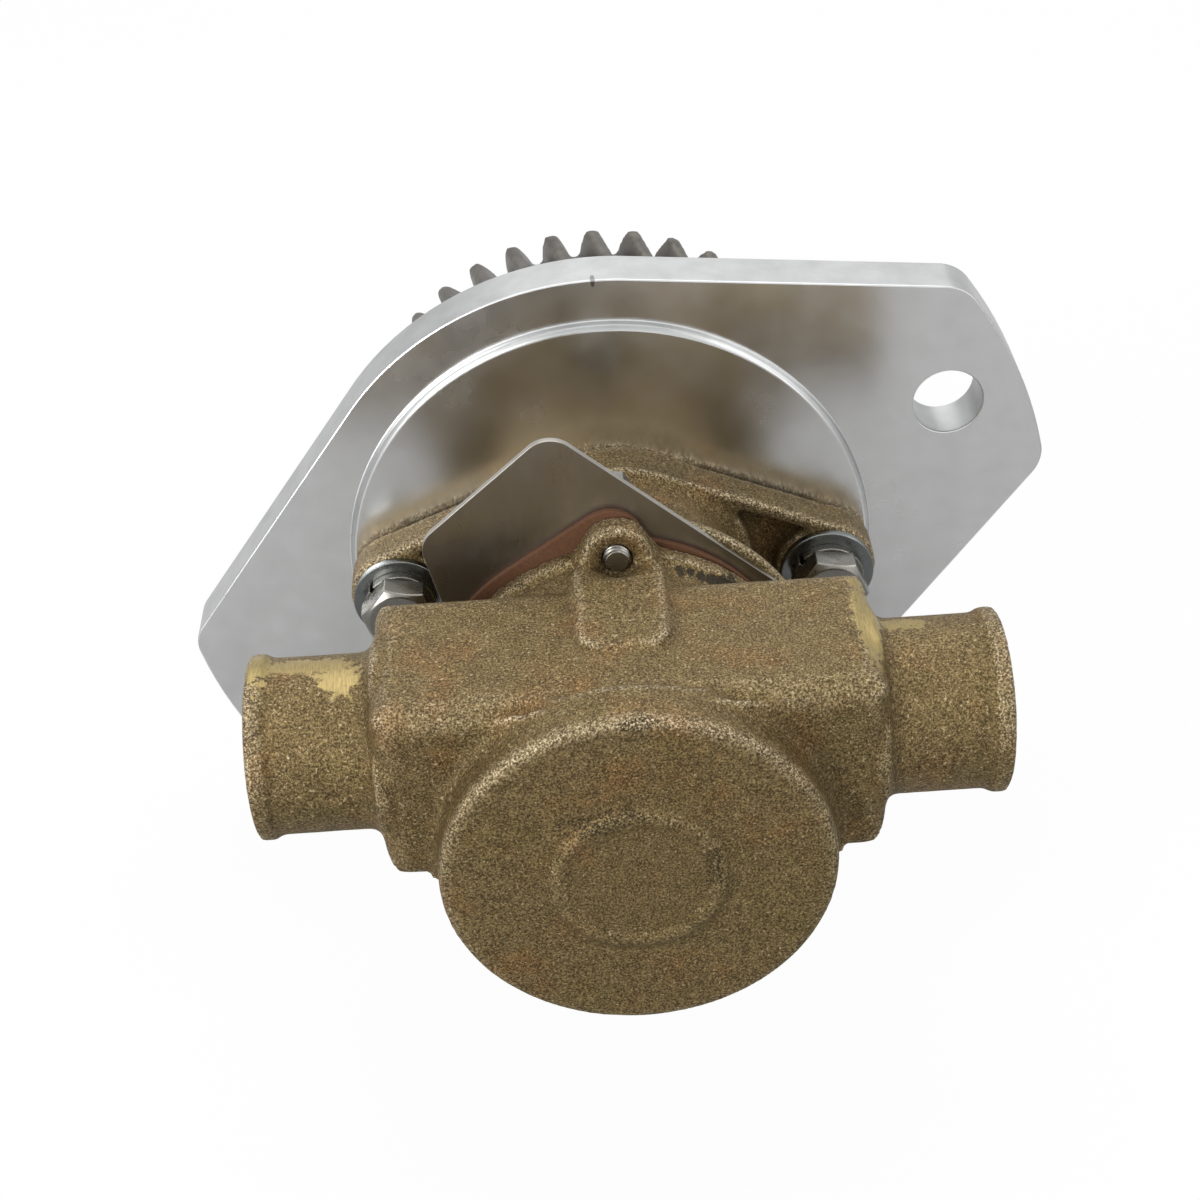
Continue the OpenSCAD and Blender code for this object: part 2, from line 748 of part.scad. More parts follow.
module seat_cup() {
    y = seat_pocket_y;
    color("#262626") turned() polygon([
        [seat_r - cup_back_w, y - cup_w + seat_w], [seat_r, y - cup_w + seat_w], [seat_r, y - cup_w],
        [seal_bore_r - fit_gap, y - cup_w], [seal_bore_r - fit_gap, y], [seat_r - cup_back_w, y]
    ]);
}

module seal_seat() {
    y = seat_pocket_y - cup_w;
    color("ivory") ring(seat_r, nose_r + seat_bore_gap, y, y + seat_w);
}

module oil_seal_case() {
    y = oil_seal_y;
    color("#9a9fa3") turned() polygon([
        [oil_seal_r, y], [oil_seal_r, y + oil_seal_w], [oil_seal_r - case_t, y + oil_seal_w],
        [oil_seal_r - case_t, y + case_t], [shaft_r + 2 * lip_t, y + case_t],
        [shaft_r + 2 * lip_t, y]
    ]);
}

module oil_seal_lip() {
    y = oil_seal_y;
    color("#5a2a1c") turned() polygon([
        [shaft_r + lip_root, y + case_t], [shaft_r + lip_root, y + lip_l / 2],
        [shaft_r + 2 * lip_t, y + lip_l], [shaft_r + lip_t, y + lip_l],
        [shaft_r + run_gap, y + lip_l - lip_t], [shaft_r + lip_t, y + lip_l / 2],
        [shaft_r + lip_t, y + case_t]
    ]);
}

module housing_circlip() {
    y = bearing_end_y + 2 * fit_gap;
    lug_z = bearing_r - circlip_w - 0.8 * circlip_lug_r;
    color("#4c4f52") difference() {
        union() {
            ring(bearing_r + circlip_groove - fit_gap, bearing_r - circlip_w, y, y + circlip_t);
            along_y(y, y + circlip_t) for (s = [-1, 1]) translate([s * circlip_lug_x, -lug_z])
                circle(circlip_lug_r);
        }
        along_y(y - cut, y + circlip_t + cut) {
            translate([-circlip_w, -bearing_r - 2 * cut]) square([2 * circlip_w, 8 * cut]);
            for (s = [-1, 1]) translate([s * circlip_lug_x, -lug_z]) circle(circlip_hole_r);
        }
    }
}

module race_groove(y) {
    turned() translate([bearing_pitch_r, y]) circle(race_groove_r);
}

module outer_race(y) {
    color("#b9bdc0") difference() {
        ring(bearing_r, bearing_pitch_r + 0.3 * ball_d, y - bearing_w / 2, y + bearing_w / 2);
        race_groove(y);
    }
}

module inner_race(y) {
    color("#b9bdc0") difference() {
        ring(bearing_pitch_r - 0.3 * ball_d, shaft_r, y - bearing_w / 2, y + bearing_w / 2);
        race_groove(y);
    }
}

module balls(y) {
    color("#d4d6d8") for (i = [0:ball_count - 1]) rotate([0, i * 360 / ball_count, 0])
        translate([bearing_pitch_r, y, 0]) sphere(ball_d / 2);
}

// A thin ring with a round pocket for each ball
module cage(y) {
    color("#8c6f3c") difference() {
        ring(bearing_pitch_r + cage_t / 2, bearing_pitch_r - cage_t / 2, y - cage_w / 2,
            y + cage_w / 2);
        for (i = [0:ball_count - 1]) rotate([0, i * 360 / ball_count, 0])
            translate([bearing_pitch_r - cage_t, y, 0]) rotate([0, 90, 0])
                cylinder(r = ball_d / 2 + run_gap, h = 2 * cage_t);
    }
}

module bearing_spacer() {
    y = front_bearing_y + bearing_w / 2;
    color("#8f9498") ring(spacer_r, shaft_r + fit_gap, y, y + spacer_l);
}

module key_slot(r, y0, y1) {
    translate([-key_w / 2 - fit_gap / 2, y0, r - key_depth])
        cube([key_w + fit_gap, y1 - y0, key_depth + cut]);
}

module shaft() {
    bevel = 1;
    color("#c2c6c8") difference() {
        turned() polygon([
            [0, nose_y], [nose_r - bevel, nose_y], [nose_r, nose_y + bevel], [nose_r, step_y],
            [shaft_r, step_y], [shaft_r, gear_end_y - 1], [thread_r, gear_end_y - 1],
            [thread_r, shaft_end_y - bevel], [thread_r - bevel, shaft_end_y], [0, shaft_end_y]
        ]);
        key_slot(nose_r, impeller_key_y, impeller_key_y + impeller_key_l);
        key_slot(shaft_r, gear_key_y, gear_key_y + gear_key_l);
        ring(shaft_r + cut, shaft_r - shaft_circlip_groove, bearing_stop_y - shaft_circlip_t - fit_gap,
            bearing_stop_y);
        ring(nose_r + cut, nose_r - nose_clip_groove, nose_clip_y - fit_gap,
            nose_clip_y + nose_clip_t + fit_gap);
    }
}

// A round-wire style snap ring with a gap at the bottom
module snap_ring(r_in, r_out, y0, y1) {
    difference() {
        ring(r_out, r_in, y0, y1);
        along_y(y0 - cut, y1 + cut) translate([-2.5, -r_out - cut])
            square([5, r_out]);
    }
}

module shaft_circlip() {
    color("#4c4f52") snap_ring(shaft_r - shaft_circlip_groove + fit_gap,
        shaft_r + shaft_circlip_w, bearing_stop_y - shaft_circlip_t, bearing_stop_y);
}

module slinger() {
    y = (weep_y + oil_seal_y - slinger_t) / 2;
    color("#1f1f1f") turned() polygon([
        [shaft_r, y - slinger_t / 2], [shaft_r + slinger_t, y - slinger_t / 2],
        [shaft_r + slinger_t, y], [slinger_r, y + slinger_t / 2],
        [slinger_r, y + slinger_t], [shaft_r, y + slinger_t]
    ]);
}

module seal_face() {
    y = seal_back_y;
    color("#2b2b2d") turned() polygon([
        [nose_r + 0.8, y - seal_face_w], [seal_face_r, y - seal_face_w], [seal_face_r, y - 1],
        [seal_face_r - 1, y - 1], [seal_face_r - 1, y], [nose_r + 0.8, y]
    ]);
}

module seal_bellows() {
    y1 = seal_back_y - seal_face_w;
    y0 = gasket_y + bellows_start;
    mid = (y0 + y1) / 2;
    color("#1c1c1c") turned() polygon([
        [nose_r, y0], [nose_r + bellows_foot, y0], [nose_r + bellows_foot, y0 + bellows_end],
        [nose_r + bellows_t, y0 + bellows_end], [nose_r + bellows_t, mid - bellows_end],
        [nose_r + bellows_t + bellows_fold, mid], [nose_r + bellows_t, mid + bellows_end],
        [nose_r + bellows_t, y1 - bellows_end], [seal_face_r, y1 - bellows_end],
        [seal_face_r, y1], [nose_r, y1]
    ]);
}

module seal_spring() {
    y1 = seal_back_y - seal_face_w - bellows_end - fit_gap;
    y0 = gasket_y + bellows_start + bellows_end + fit_gap;
    coil_r = seal_face_r - wire_r;
    turns = 2;
    color("#b0b4b6") translate([0, y0, 0]) rotate([-90, 0, 0])
        linear_extrude(y1 - y0, twist = -360 * turns, slices = 16 * turns, $fn = 8)
            translate([coil_r, 0]) circle(wire_r);
}

module impeller_hub() {
    color("#9a8150") difference() {
        rod(insert_r, hub_front_y, impeller_back_y - hub_recess);
        rod(nose_r + fit_gap, impeller_front_y, impeller_back_y);
        translate([-key_w / 2 - fit_gap, impeller_front_y, 0])
            cube([key_w + 2 * fit_gap, impeller_l, nose_r - key_depth + key_h + 2 * fit_gap]);
    }
}

// How far a vane can reach at the angle a before it meets the chamber or the cam
function reach_at(a) = min(chamber_r, sin(a) > 0.1 ? cam_z / sin(a) : chamber_r);

// One vane: straight where it is free, leaning back where the cam presses it down
module vane(a) {
    tip = min([for (back = [0:lean_step:lean_room]) reach_at(a - back)]) - vane_tip_r - impeller_gap;
    free = chamber_r - vane_tip_r - impeller_gap;
    lean = 5 + 9 * (free - tip);
    steps = 6;
    function centre(t) = polar(rubber_hub_r - 2 + (tip - rubber_hub_r + 2) * t, a - lean * t * t);
    function half(t) = (vane_t - 0.9 * t) / 2;
    function across(t) = polar(half(t), a - lean * t * t + 90);
    polygon(concat(
        [for (i = [0:steps]) centre(i / steps) - across(i / steps)],
        [for (i = [steps:-1:0]) centre(i / steps) + across(i / steps)]
    ));
    translate(centre(1)) circle(vane_tip_r);
}

module impeller_vanes() {
    color("#1d1d1f") difference() {
        along_y(impeller_front_y, impeller_back_y) {
            circle(rubber_hub_r);
            for (i = [0:vane_count - 1]) vane(i * 360 / vane_count);
        }
        rod(insert_r, impeller_front_y - cut, impeller_back_y + cut);
    }
}

module impeller_key() {
    color("#a9adb0") translate([-key_w / 2, impeller_key_y + fit_gap, nose_r - key_depth + fit_gap])
        cube([key_w, impeller_key_l - 2 * fit_gap, key_h]);
}

module impeller_circlip() {
    color("#4c4f52") snap_ring(nose_r - nose_clip_groove + fit_gap, nose_r + nose_clip_w,
        nose_clip_y, nose_clip_y + nose_clip_t);
}

// One side of a tooth, from the root to the rounded tip, mirrored by the sign s
function flank(s) =
    let (half = 180 / gear_teeth * tooth_share, at_pitch = inv(pressure_angle), steps = 3,
        low = gear_base_r + lap, high = gear_tip_r - tip_round,
        at = function (r) half + at_pitch - inv(acos(gear_base_r / r)))
    concat(
        [polar(gear_root_r, s * (at(low) + root_round * 2)),
            polar(gear_root_r + root_round, s * (at(low) + root_round / 4))],
        [for (i = [0:steps]) let (r = low + (high - low) * i / steps) polar(r, s * at(r))],
        [polar(gear_tip_r, s * (at(high) - tip_round * 1.6))]
    );

function reversed(list) = [for (i = [len(list) - 1:-1:0]) list[i]];

// All the teeth as one outline: the tooth's two sides, turned to each place
function gear_outline() = [
    for (i = [0:gear_teeth - 1], p = concat(flank(-1), reversed(flank(1))))
        let (a = i * 360 / gear_teeth) [p[0] * cos(a) - p[1] * sin(a), p[0] * sin(a) + p[1] * cos(a)]
];

module drive_gear() {
    y0 = gear_back;
    y1 = gear_end_y;
    rim = gear_root_r - gear_rim_t;
    color("#5b5a57") difference() {
        union() {
            translate([0, y1, 0]) rotate([90, 0, 0])
                linear_extrude(gear_w, twist = gear_twist, slices = 4) rotate(tooth_phase)
                    polygon(gear_outline());
            rod(gear_hub_r, bearing_end_y, y1);
        }
        ring(rim, gear_hub_r + 3, y0 - cut, y0 + gear_web_inset);
        ring(gear_hub_r + 3 + fit_gap, gear_hub_r, y0 - cut, y0 + gear_web_inset);
        ring(rim, gear_hub_r + 3, y1 - gear_web_inset, y1 + cut);
        rod(shaft_r + fit_gap, bearing_end_y - cut, y1 + cut);
        translate([-key_w / 2 - fit_gap, bearing_end_y - cut, 0])
            cube([key_w + 2 * fit_gap, y1 - bearing_end_y + 2 * cut,
                shaft_r - key_depth + key_h + 2 * fit_gap]);
    }
}

module gear_key() {
    color("#a9adb0") translate([-key_w / 2, gear_key_y + fit_gap, shaft_r - key_depth + fit_gap])
        cube([key_w, gear_key_l - 2 * fit_gap, key_h]);
}

module gear_washer() {
    color("#7d8083") ring(gear_washer_r, thread_r + fit_gap, gear_end_y, gear_end_y + gear_washer_t);
}

module gear_nut() {
    y = gear_end_y + gear_washer_t;
    color("#6d7073") difference() {
        along_y(y, y + nut_h) circle(nut_af / sqrt(3), $fn = 6);
        rod(thread_r + fit_gap, y - cut, y + nut_h + cut);
    }
}

adapter_plate();
pilot_o_ring();
bearing_housing();
housing_screws();
housing_washers();
housing_lock_washers();
wear_plate();
body_gasket();
pump_body();
body_screws();
body_lock_washers();
seal_seat();
seat_cup();
oil_seal_case();
oil_seal_lip();
housing_circlip();
outer_race(front_bearing_y);  // front_outer_race
outer_race(rear_bearing_y);  // rear_outer_race
balls(front_bearing_y);  // front_balls
cage(front_bearing_y);  // front_cage
balls(rear_bearing_y);  // rear_balls
cage(rear_bearing_y);  // rear_cage
inner_race(front_bearing_y);  // front_inner_race
inner_race(rear_bearing_y);  // rear_inner_race
bearing_spacer();
shaft();
shaft_circlip();
slinger();
seal_face();
seal_bellows();
seal_spring();
impeller_hub();
impeller_vanes();
impeller_key();
impeller_circlip();
drive_gear();
gear_key();
gear_washer();
gear_nut();
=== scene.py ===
# %% [markdown]
# # A raw water pump, dressed for its picture
# The pump moves sea water through an engine's cooler. A bronze body with two hose spigots sits on a
# bronze bearing housing, which two screws hold to a bright aluminium plate. A helical steel gear
# behind the plate drives it. The engineering model gives every piece its size and place, so this
# lesson starts by loading it as a frame, and then gives each piece the surface of the real one.

# %% Load the frame
import json
import math

import bmesh
import bpy
from mathutils import Matrix, Vector


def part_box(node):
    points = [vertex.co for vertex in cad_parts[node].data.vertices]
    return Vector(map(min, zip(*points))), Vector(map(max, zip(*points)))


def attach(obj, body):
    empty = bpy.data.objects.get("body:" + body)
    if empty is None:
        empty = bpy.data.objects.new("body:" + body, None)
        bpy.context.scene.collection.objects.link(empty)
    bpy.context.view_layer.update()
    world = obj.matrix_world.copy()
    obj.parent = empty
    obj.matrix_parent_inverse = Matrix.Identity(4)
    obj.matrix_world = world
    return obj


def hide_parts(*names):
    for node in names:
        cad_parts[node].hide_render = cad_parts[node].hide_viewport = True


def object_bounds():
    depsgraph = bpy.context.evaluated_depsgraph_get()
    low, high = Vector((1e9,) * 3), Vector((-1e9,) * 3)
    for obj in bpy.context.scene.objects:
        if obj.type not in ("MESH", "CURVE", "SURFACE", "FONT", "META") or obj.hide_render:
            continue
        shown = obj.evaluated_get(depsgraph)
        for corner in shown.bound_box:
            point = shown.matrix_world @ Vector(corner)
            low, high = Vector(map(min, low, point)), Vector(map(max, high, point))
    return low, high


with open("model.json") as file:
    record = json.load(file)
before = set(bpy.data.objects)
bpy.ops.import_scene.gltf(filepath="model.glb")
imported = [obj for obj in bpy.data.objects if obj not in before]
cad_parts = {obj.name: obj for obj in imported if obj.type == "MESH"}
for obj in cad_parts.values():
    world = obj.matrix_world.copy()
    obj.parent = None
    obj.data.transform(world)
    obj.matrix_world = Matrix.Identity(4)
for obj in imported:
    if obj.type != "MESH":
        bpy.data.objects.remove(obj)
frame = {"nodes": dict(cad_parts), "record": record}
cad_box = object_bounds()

MM = 0.001
nodes = frame["nodes"]
print("nodes in the frame:", len(nodes))
print("size in mm:", [round((high - low) / MM, 1) for low, high in zip(*cad_box)])

# %% [markdown]
# ## The camera
# The picture was taken from 36 cm in front of the plate and 24 cm above it, with the camera rolled
# a few degrees. A camera in Blender looks along its own -Z axis, with +X to the right, so its
# matrix takes the three directions as columns. The lens follows from how large 1 mm looks at
# 1 metre.

# %% Camera
CAMERA_RIGHT = Vector((0.99780, -0.04496, -0.04868))
CAMERA_UP = Vector((0.06574, 0.57910, 0.81261))
CAMERA_PLACE = Vector((-6.389, -359.218, 237.256)) * MM
PICTURE_PIXELS = 1200
FOCAL_PIXELS = 2095.4
SENSOR_WIDTH = 36
NEAREST_SEEN = 0.01

right = CAMERA_RIGHT.normalized()
look = CAMERA_UP.cross(right).normalized()
up = right.cross(look).normalized()
turn = Matrix((right, up, -look)).transposed()

camera_data = bpy.data.cameras.new("camera")
camera_data.sensor_fit = "HORIZONTAL"
camera_data.sensor_width = SENSOR_WIDTH
camera_data.lens = FOCAL_PIXELS * SENSOR_WIDTH / PICTURE_PIXELS
camera_data.clip_start = NEAREST_SEEN
camera = bpy.data.objects.new("camera", camera_data)
camera.matrix_world = Matrix.Translation(CAMERA_PLACE) @ turn.to_4x4()
bpy.context.scene.collection.objects.link(camera)
bpy.context.scene.camera = camera
print("lens:", round(camera_data.lens, 2), "mm")

# %% [markdown]
# ## The floor and the light
# A product picture has a pale floor without a horizon and large soft lamps. The floor is lit like
# any other surface, so it keeps the pump's shadow. It also glows white for the camera and for
# reflections, so that the background stays white without more light on the metal.

# %% Node helpers
def start_material(name):
    made = bpy.data.materials.new(name)
    made.use_nodes = True
    tree = made.node_tree
    tree.nodes.clear()
    output = tree.nodes.new("ShaderNodeOutputMaterial")
    return made, tree, output


def set_input(tree, socket, value):
    """A value is set on the socket, and another node's output is linked to it."""
    if isinstance(value, bpy.types.NodeSocket):
        tree.links.new(value, socket)
    else:
        socket.default_value = value


def add_node(tree, kind, settings=None, **inputs):
    node = tree.nodes.new(kind)
    for key, value in (settings or {}).items():
        setattr(node, key, value)
    for key, value in inputs.items():
        name = key.replace("_", " ")
        socket = node.inputs[int(key[1:])] if key[1:].isdigit() else node.inputs[name]
        set_input(tree, socket, value)
    return node


# %% Floor and world
FLOOR_GLOW = 0.95
FLOOR_GREY = (0.74, 0.74, 0.74, 1)
WHITE = (1, 1, 1, 1)
FLOOR_GAP = 0.2 * MM
FLOOR_SIZE = 4.0

floor_z = cad_box[0][2] - FLOOR_GAP
floor_mesh = bpy.data.meshes.new("floor")
half = FLOOR_SIZE / 2
floor_mesh.from_pydata([(-half, -half, floor_z), (half, -half, floor_z), (half, half, floor_z),
                        (-half, half, floor_z)], [], [(0, 1, 2, 3)])
floor = bpy.data.objects.new("floor", floor_mesh)
bpy.context.scene.collection.objects.link(floor)


def seen_or_mirrored(tree):
    """1 for what the camera sees, directly or in a reflection, and 0 for light on its way."""
    path = add_node(tree, "ShaderNodeLightPath")
    either = add_node(tree, "ShaderNodeMath", {"operation": "MAXIMUM"},
                      i0=path.outputs["Is Camera Ray"], i1=path.outputs["Is Glossy Ray"])
    last = add_node(tree, "ShaderNodeMath", {"operation": "MAXIMUM"},
                    i0=either.outputs[0], i1=path.outputs["Is Transmission Ray"])
    return last.outputs[0]


floor_material, tree, output = start_material("floor_paper")
paper = add_node(tree, "ShaderNodeBsdfDiffuse", Color=FLOOR_GREY)
glow = add_node(tree, "ShaderNodeEmission", Color=WHITE, Strength=1.0)
share = add_node(tree, "ShaderNodeMath", {"operation": "MULTIPLY"}, i0=seen_or_mirrored(tree),
                 i1=FLOOR_GLOW)
mixed = add_node(tree, "ShaderNodeMixShader", Fac=share.outputs[0], i1=paper.outputs[0],
                 i2=glow.outputs[0])
tree.links.new(mixed.outputs[0], output.inputs["Surface"])
floor_mesh.materials.append(floor_material)

# A grey card lies under and in front of the pump for the metal to mirror, as a photographer would
# lay one. The camera and the soft light don't see it.
CARD_NEAR, CARD_FAR, CARD_HALF = -0.03, -1.6, 1.4
CARD_GREY = (0.38, 0.38, 0.38, 1)
card_z = floor_z + FLOOR_GAP / 2
card_mesh = bpy.data.meshes.new("grey_card")
card_mesh.from_pydata([(-CARD_HALF, CARD_FAR, card_z), (CARD_HALF, CARD_FAR, card_z),
                       (CARD_HALF, CARD_NEAR, card_z), (-CARD_HALF, CARD_NEAR, card_z)], [],
                      [(0, 1, 2, 3)])
card = bpy.data.objects.new("grey_card", card_mesh)
card.visible_camera = False
card.visible_diffuse = False
card.visible_shadow = False
bpy.context.scene.collection.objects.link(card)
card_material, tree, output = start_material("card_paper")
paper = add_node(tree, "ShaderNodeBsdfDiffuse", Color=CARD_GREY)
tree.links.new(paper.outputs[0], output.inputs["Surface"])
card_mesh.materials.append(card_material)

world = bpy.data.worlds.new("studio")
world.use_nodes = True
bpy.context.scene.world = world
tree = world.node_tree
WORLD_LIGHT = 0.5
background = tree.nodes["Background"]
background.inputs["Color"].default_value = WHITE
strength = add_node(tree, "ShaderNodeMapRange", Value=seen_or_mirrored(tree), To_Min=WORLD_LIGHT,
                    To_Max=1.0)
tree.links.new(strength.outputs[0], background.inputs["Strength"])
bpy.context.scene.view_settings.view_transform = "Standard"


# %% Lamps
# Name, place and size in metres, and watts. Each lamp points at the origin.
LAMPS = (("lamp_top", (0.0, 0.35, 0.85), (1.0, 0.8), 6),
         ("lamp_left", (-0.75, -0.85, 0.4), (0.6, 0.8), 11.5),
         ("lamp_right", (0.85, -0.5, 0.6), (0.6, 0.8), 3.5))


def soft_lamp(name, place, size, watts):
    lamp = bpy.data.lights.new(name, "AREA")
    lamp.shape = "RECTANGLE"
    lamp.size, lamp.size_y = size
    lamp.energy = watts
    made = bpy.data.objects.new(name, lamp)
    made.location = place
    made.rotation_euler = (-Vector(place)).to_track_quat("-Z", "Y").to_euler()
    bpy.context.scene.collection.objects.link(made)


for lamp_row in LAMPS:
    soft_lamp(*lamp_row)
print("floor at", round(floor_z / MM, 1), "mm; lamps:", len(LAMPS))

# %% [markdown]
# ## Surfaces
# Every finish is made from noise in the piece's own space, in metres, so a grain of 0.4 mm keeps
# its size on each piece. Colour, roughness and bump follow the same noise, as they do on real
# metal: a pit is darker, duller and lower than what is round it.

# %% Finish helpers
class Finish:
    """One material: a shader, and helpers that add its patterns."""

    def __init__(self, name, color, metallic, roughness, **constants):
        self.material, self.tree, output = start_material(name)
        self.shader = self.add("ShaderNodeBsdfPrincipled", Metallic=metallic, Roughness=roughness)
        self.shader.inputs["Base Color"].default_value = (*color, 1)
        for key, value in constants.items():
            self.shader.inputs[key.replace("_", " ")].default_value = value
        self.tree.links.new(self.shader.outputs[0], output.inputs["Surface"])
        self.place = self.add("ShaderNodeTexCoord").outputs["Object"]
        self.height = None

    def add(self, kind, settings=None, **inputs):
        return add_node(self.tree, kind, settings, **inputs)

    def stretched(self, scale):
        mapping = self.add("ShaderNodeMapping", Vector=self.place)
        mapping.inputs["Scale"].default_value = scale
        return mapping.outputs[0]

    def noise(self, size, detail=4.0, roughness=0.6, vector=None):
        """Noise from 0 to 1 whose features are about size metres wide."""
        made = self.add("ShaderNodeTexNoise", Vector=vector or self.place, Scale=1 / size,
                        Detail=detail, Roughness=roughness)
        return made.outputs["Fac"]

    def shifted(self, offset):
        mapping = self.add("ShaderNodeMapping", Vector=self.place)
        mapping.inputs["Location"].default_value = offset
        return mapping.outputs[0]

    def spots(self, places, ragged):
        """1 inside the given ellipsoids, whose edges the noise makes ragged."""
        total = None
        for middle, halves in places:
            mapping = self.add("ShaderNodeMapping", Vector=self.place)
            mapping.inputs["Scale"].default_value = [1 / (h * MM) for h in halves]
            mapping.inputs["Location"].default_value = [-m / h for m, h in zip(middle, halves)]
            reach = self.add("ShaderNodeVectorMath", {"operation": "LENGTH"},
                             i0=mapping.outputs[0]).outputs["Value"]
            rim = self.math("ADD", reach, self.steps(ragged, 0.3, 0.7, -0.45, 0.45))
            inside = self.steps(rim, 1.05, 0.9)
            total = inside if total is None else self.math("MAXIMUM", total, inside)
        return total

    def steps(self, value, low, high, to_low=0.0, to_high=1.0):
        made = self.add("ShaderNodeMapRange", Value=value, From_Min=low, From_Max=high,
                        To_Min=to_low, To_Max=to_high)
        return made.outputs[0]

    def math(self, operation, first, second):
        made = self.add("ShaderNodeMath", {"operation": operation}, i0=first, i1=second)
        return made.outputs[0]

    def blend(self, share, first, second):
        made = self.add("ShaderNodeMix", {"data_type": "RGBA"})
        set_input(self.tree, made.inputs[0], share)
        for socket, value in ((made.inputs[6], first), (made.inputs[7], second)):
            set_input(self.tree, socket, value if isinstance(value, bpy.types.NodeSocket)
                      else (*value, 1))
        return made.outputs[2]

    def tinted(self, value, tint):
        made = self.add("ShaderNodeVectorMath", {"operation": "MULTIPLY"}, i0=value)
        made.inputs[1].default_value = tint
        return made.outputs[0]

    def along(self, axis):
        """1 where the surface faces along the axis, 0 on its walls and -1 on its far side."""
        normal = self.add("ShaderNodeNewGeometry").outputs["Normal"]
        made = self.add("ShaderNodeVectorMath", {"operation": "DOT_PRODUCT"}, i0=normal)
        made.inputs[1].default_value = axis
        return made.outputs["Value"]

    def facing(self, axis):
        """1 where the surface faces along the axis, either way, and 0 on its walls."""
        either = self.add("ShaderNodeMath", {"operation": "ABSOLUTE"}, i0=self.along(axis))
        return self.steps(either.outputs[0], 0.8, 0.98)

    def brushed(self, along, amount):
        """Reflections are drawn out across the fine tool lines, which run along one axis."""
        normal = self.add("ShaderNodeNewGeometry").outputs["Normal"]
        across = self.add("ShaderNodeVectorMath", {"operation": "CROSS_PRODUCT"}, i0=normal)
        across.inputs[1].default_value = along
        self.shader.inputs["Anisotropic"].default_value = amount
        self.tree.links.new(across.outputs[0], self.shader.inputs["Tangent"])

    def color(self, value):
        set_input(self.tree, self.shader.inputs["Base Color"], value)

    def rough(self, value):
        set_input(self.tree, self.shader.inputs["Roughness"], value)

    def bump(self, value, depth, strength=1.0):
        """Adds a height pattern, depth metres deep. The strength may be a pattern too."""
        made = self.add("ShaderNodeBump", Height=value, Distance=depth, Strength=strength)
        if self.height is not None:
            self.tree.links.new(self.height, made.inputs["Normal"])
        self.height = made.outputs[0]
        self.tree.links.new(self.height, self.shader.inputs["Normal"])

    def round_edges(self, radius):
        made = self.add("ShaderNodeBevel", {"samples": 6}, Radius=radius)
        self.height = made.outputs[0]
        self.tree.links.new(self.height, self.shader.inputs["Normal"])


# %% [markdown]
# ## Cast bronze
# Sand casting and blasting leave bronze dull brown with grains of lighter and darker metal, whose
# light flecks are partly painted glints. Where the grinder took the moulding flash off, the casting
# is bright and yellow with fine scratches.
# Those patches are listed one by one.

# %% Cast bronze
# Where the grinder took flash off: middle and half sizes in millimetres
GROUND_SPOTS = (((-53.0, -78.5, 27.4), (8.5, 2.6, 3.0)), ((-47.5, -82.5, 27.4), (3.6, 4.0, 3.0)),
                ((-61.0, -78.5, 26.5), (2.2, 6.0, 3.5)), ((46.5, -77.5, 27.4), (4.2, 2.4, 3.0)),
                ((40.8, -79.5, 30.2), (2.3, 13.0, 3.0)), ((36.0, -64.6, 30.2), (5.0, 1.4, 3.0)))
# Painted shadow: a dark, ragged line in the crevice where the flange's front face meets the top of
# the port block, on the right
CREVICE_SHADE = [((x, -59.4, 33.25 - 0.42 * x), (1.6, 3.5, 0.8))
              for x in (10.2, 12.0, 13.8, 15.6, 17.4, 19.2)]
# Painted shade: dark patches on the cap's boss, mostly on its upper crescent, on the cap's rim and
# along the shading lines at the flange
SHADE_PATCHES = (((1.2, -106.2, 32.3), (3.6, 1.6, 1.2)), ((-8.6, -107.0, 12.6), (4.6, 1.6, 2.4)),
               ((-3.4, -107.0, 14.0), (5.6, 1.6, 1.8)), ((12.4, -107.0, 2.0), (1.6, 1.6, 4.6)),
               ((-17.5, -59.4, 27.2), (3.6, 2.0, 0.5)), ((16.5, -60.0, 25.0), (5.5, 2.0, 1.4)))


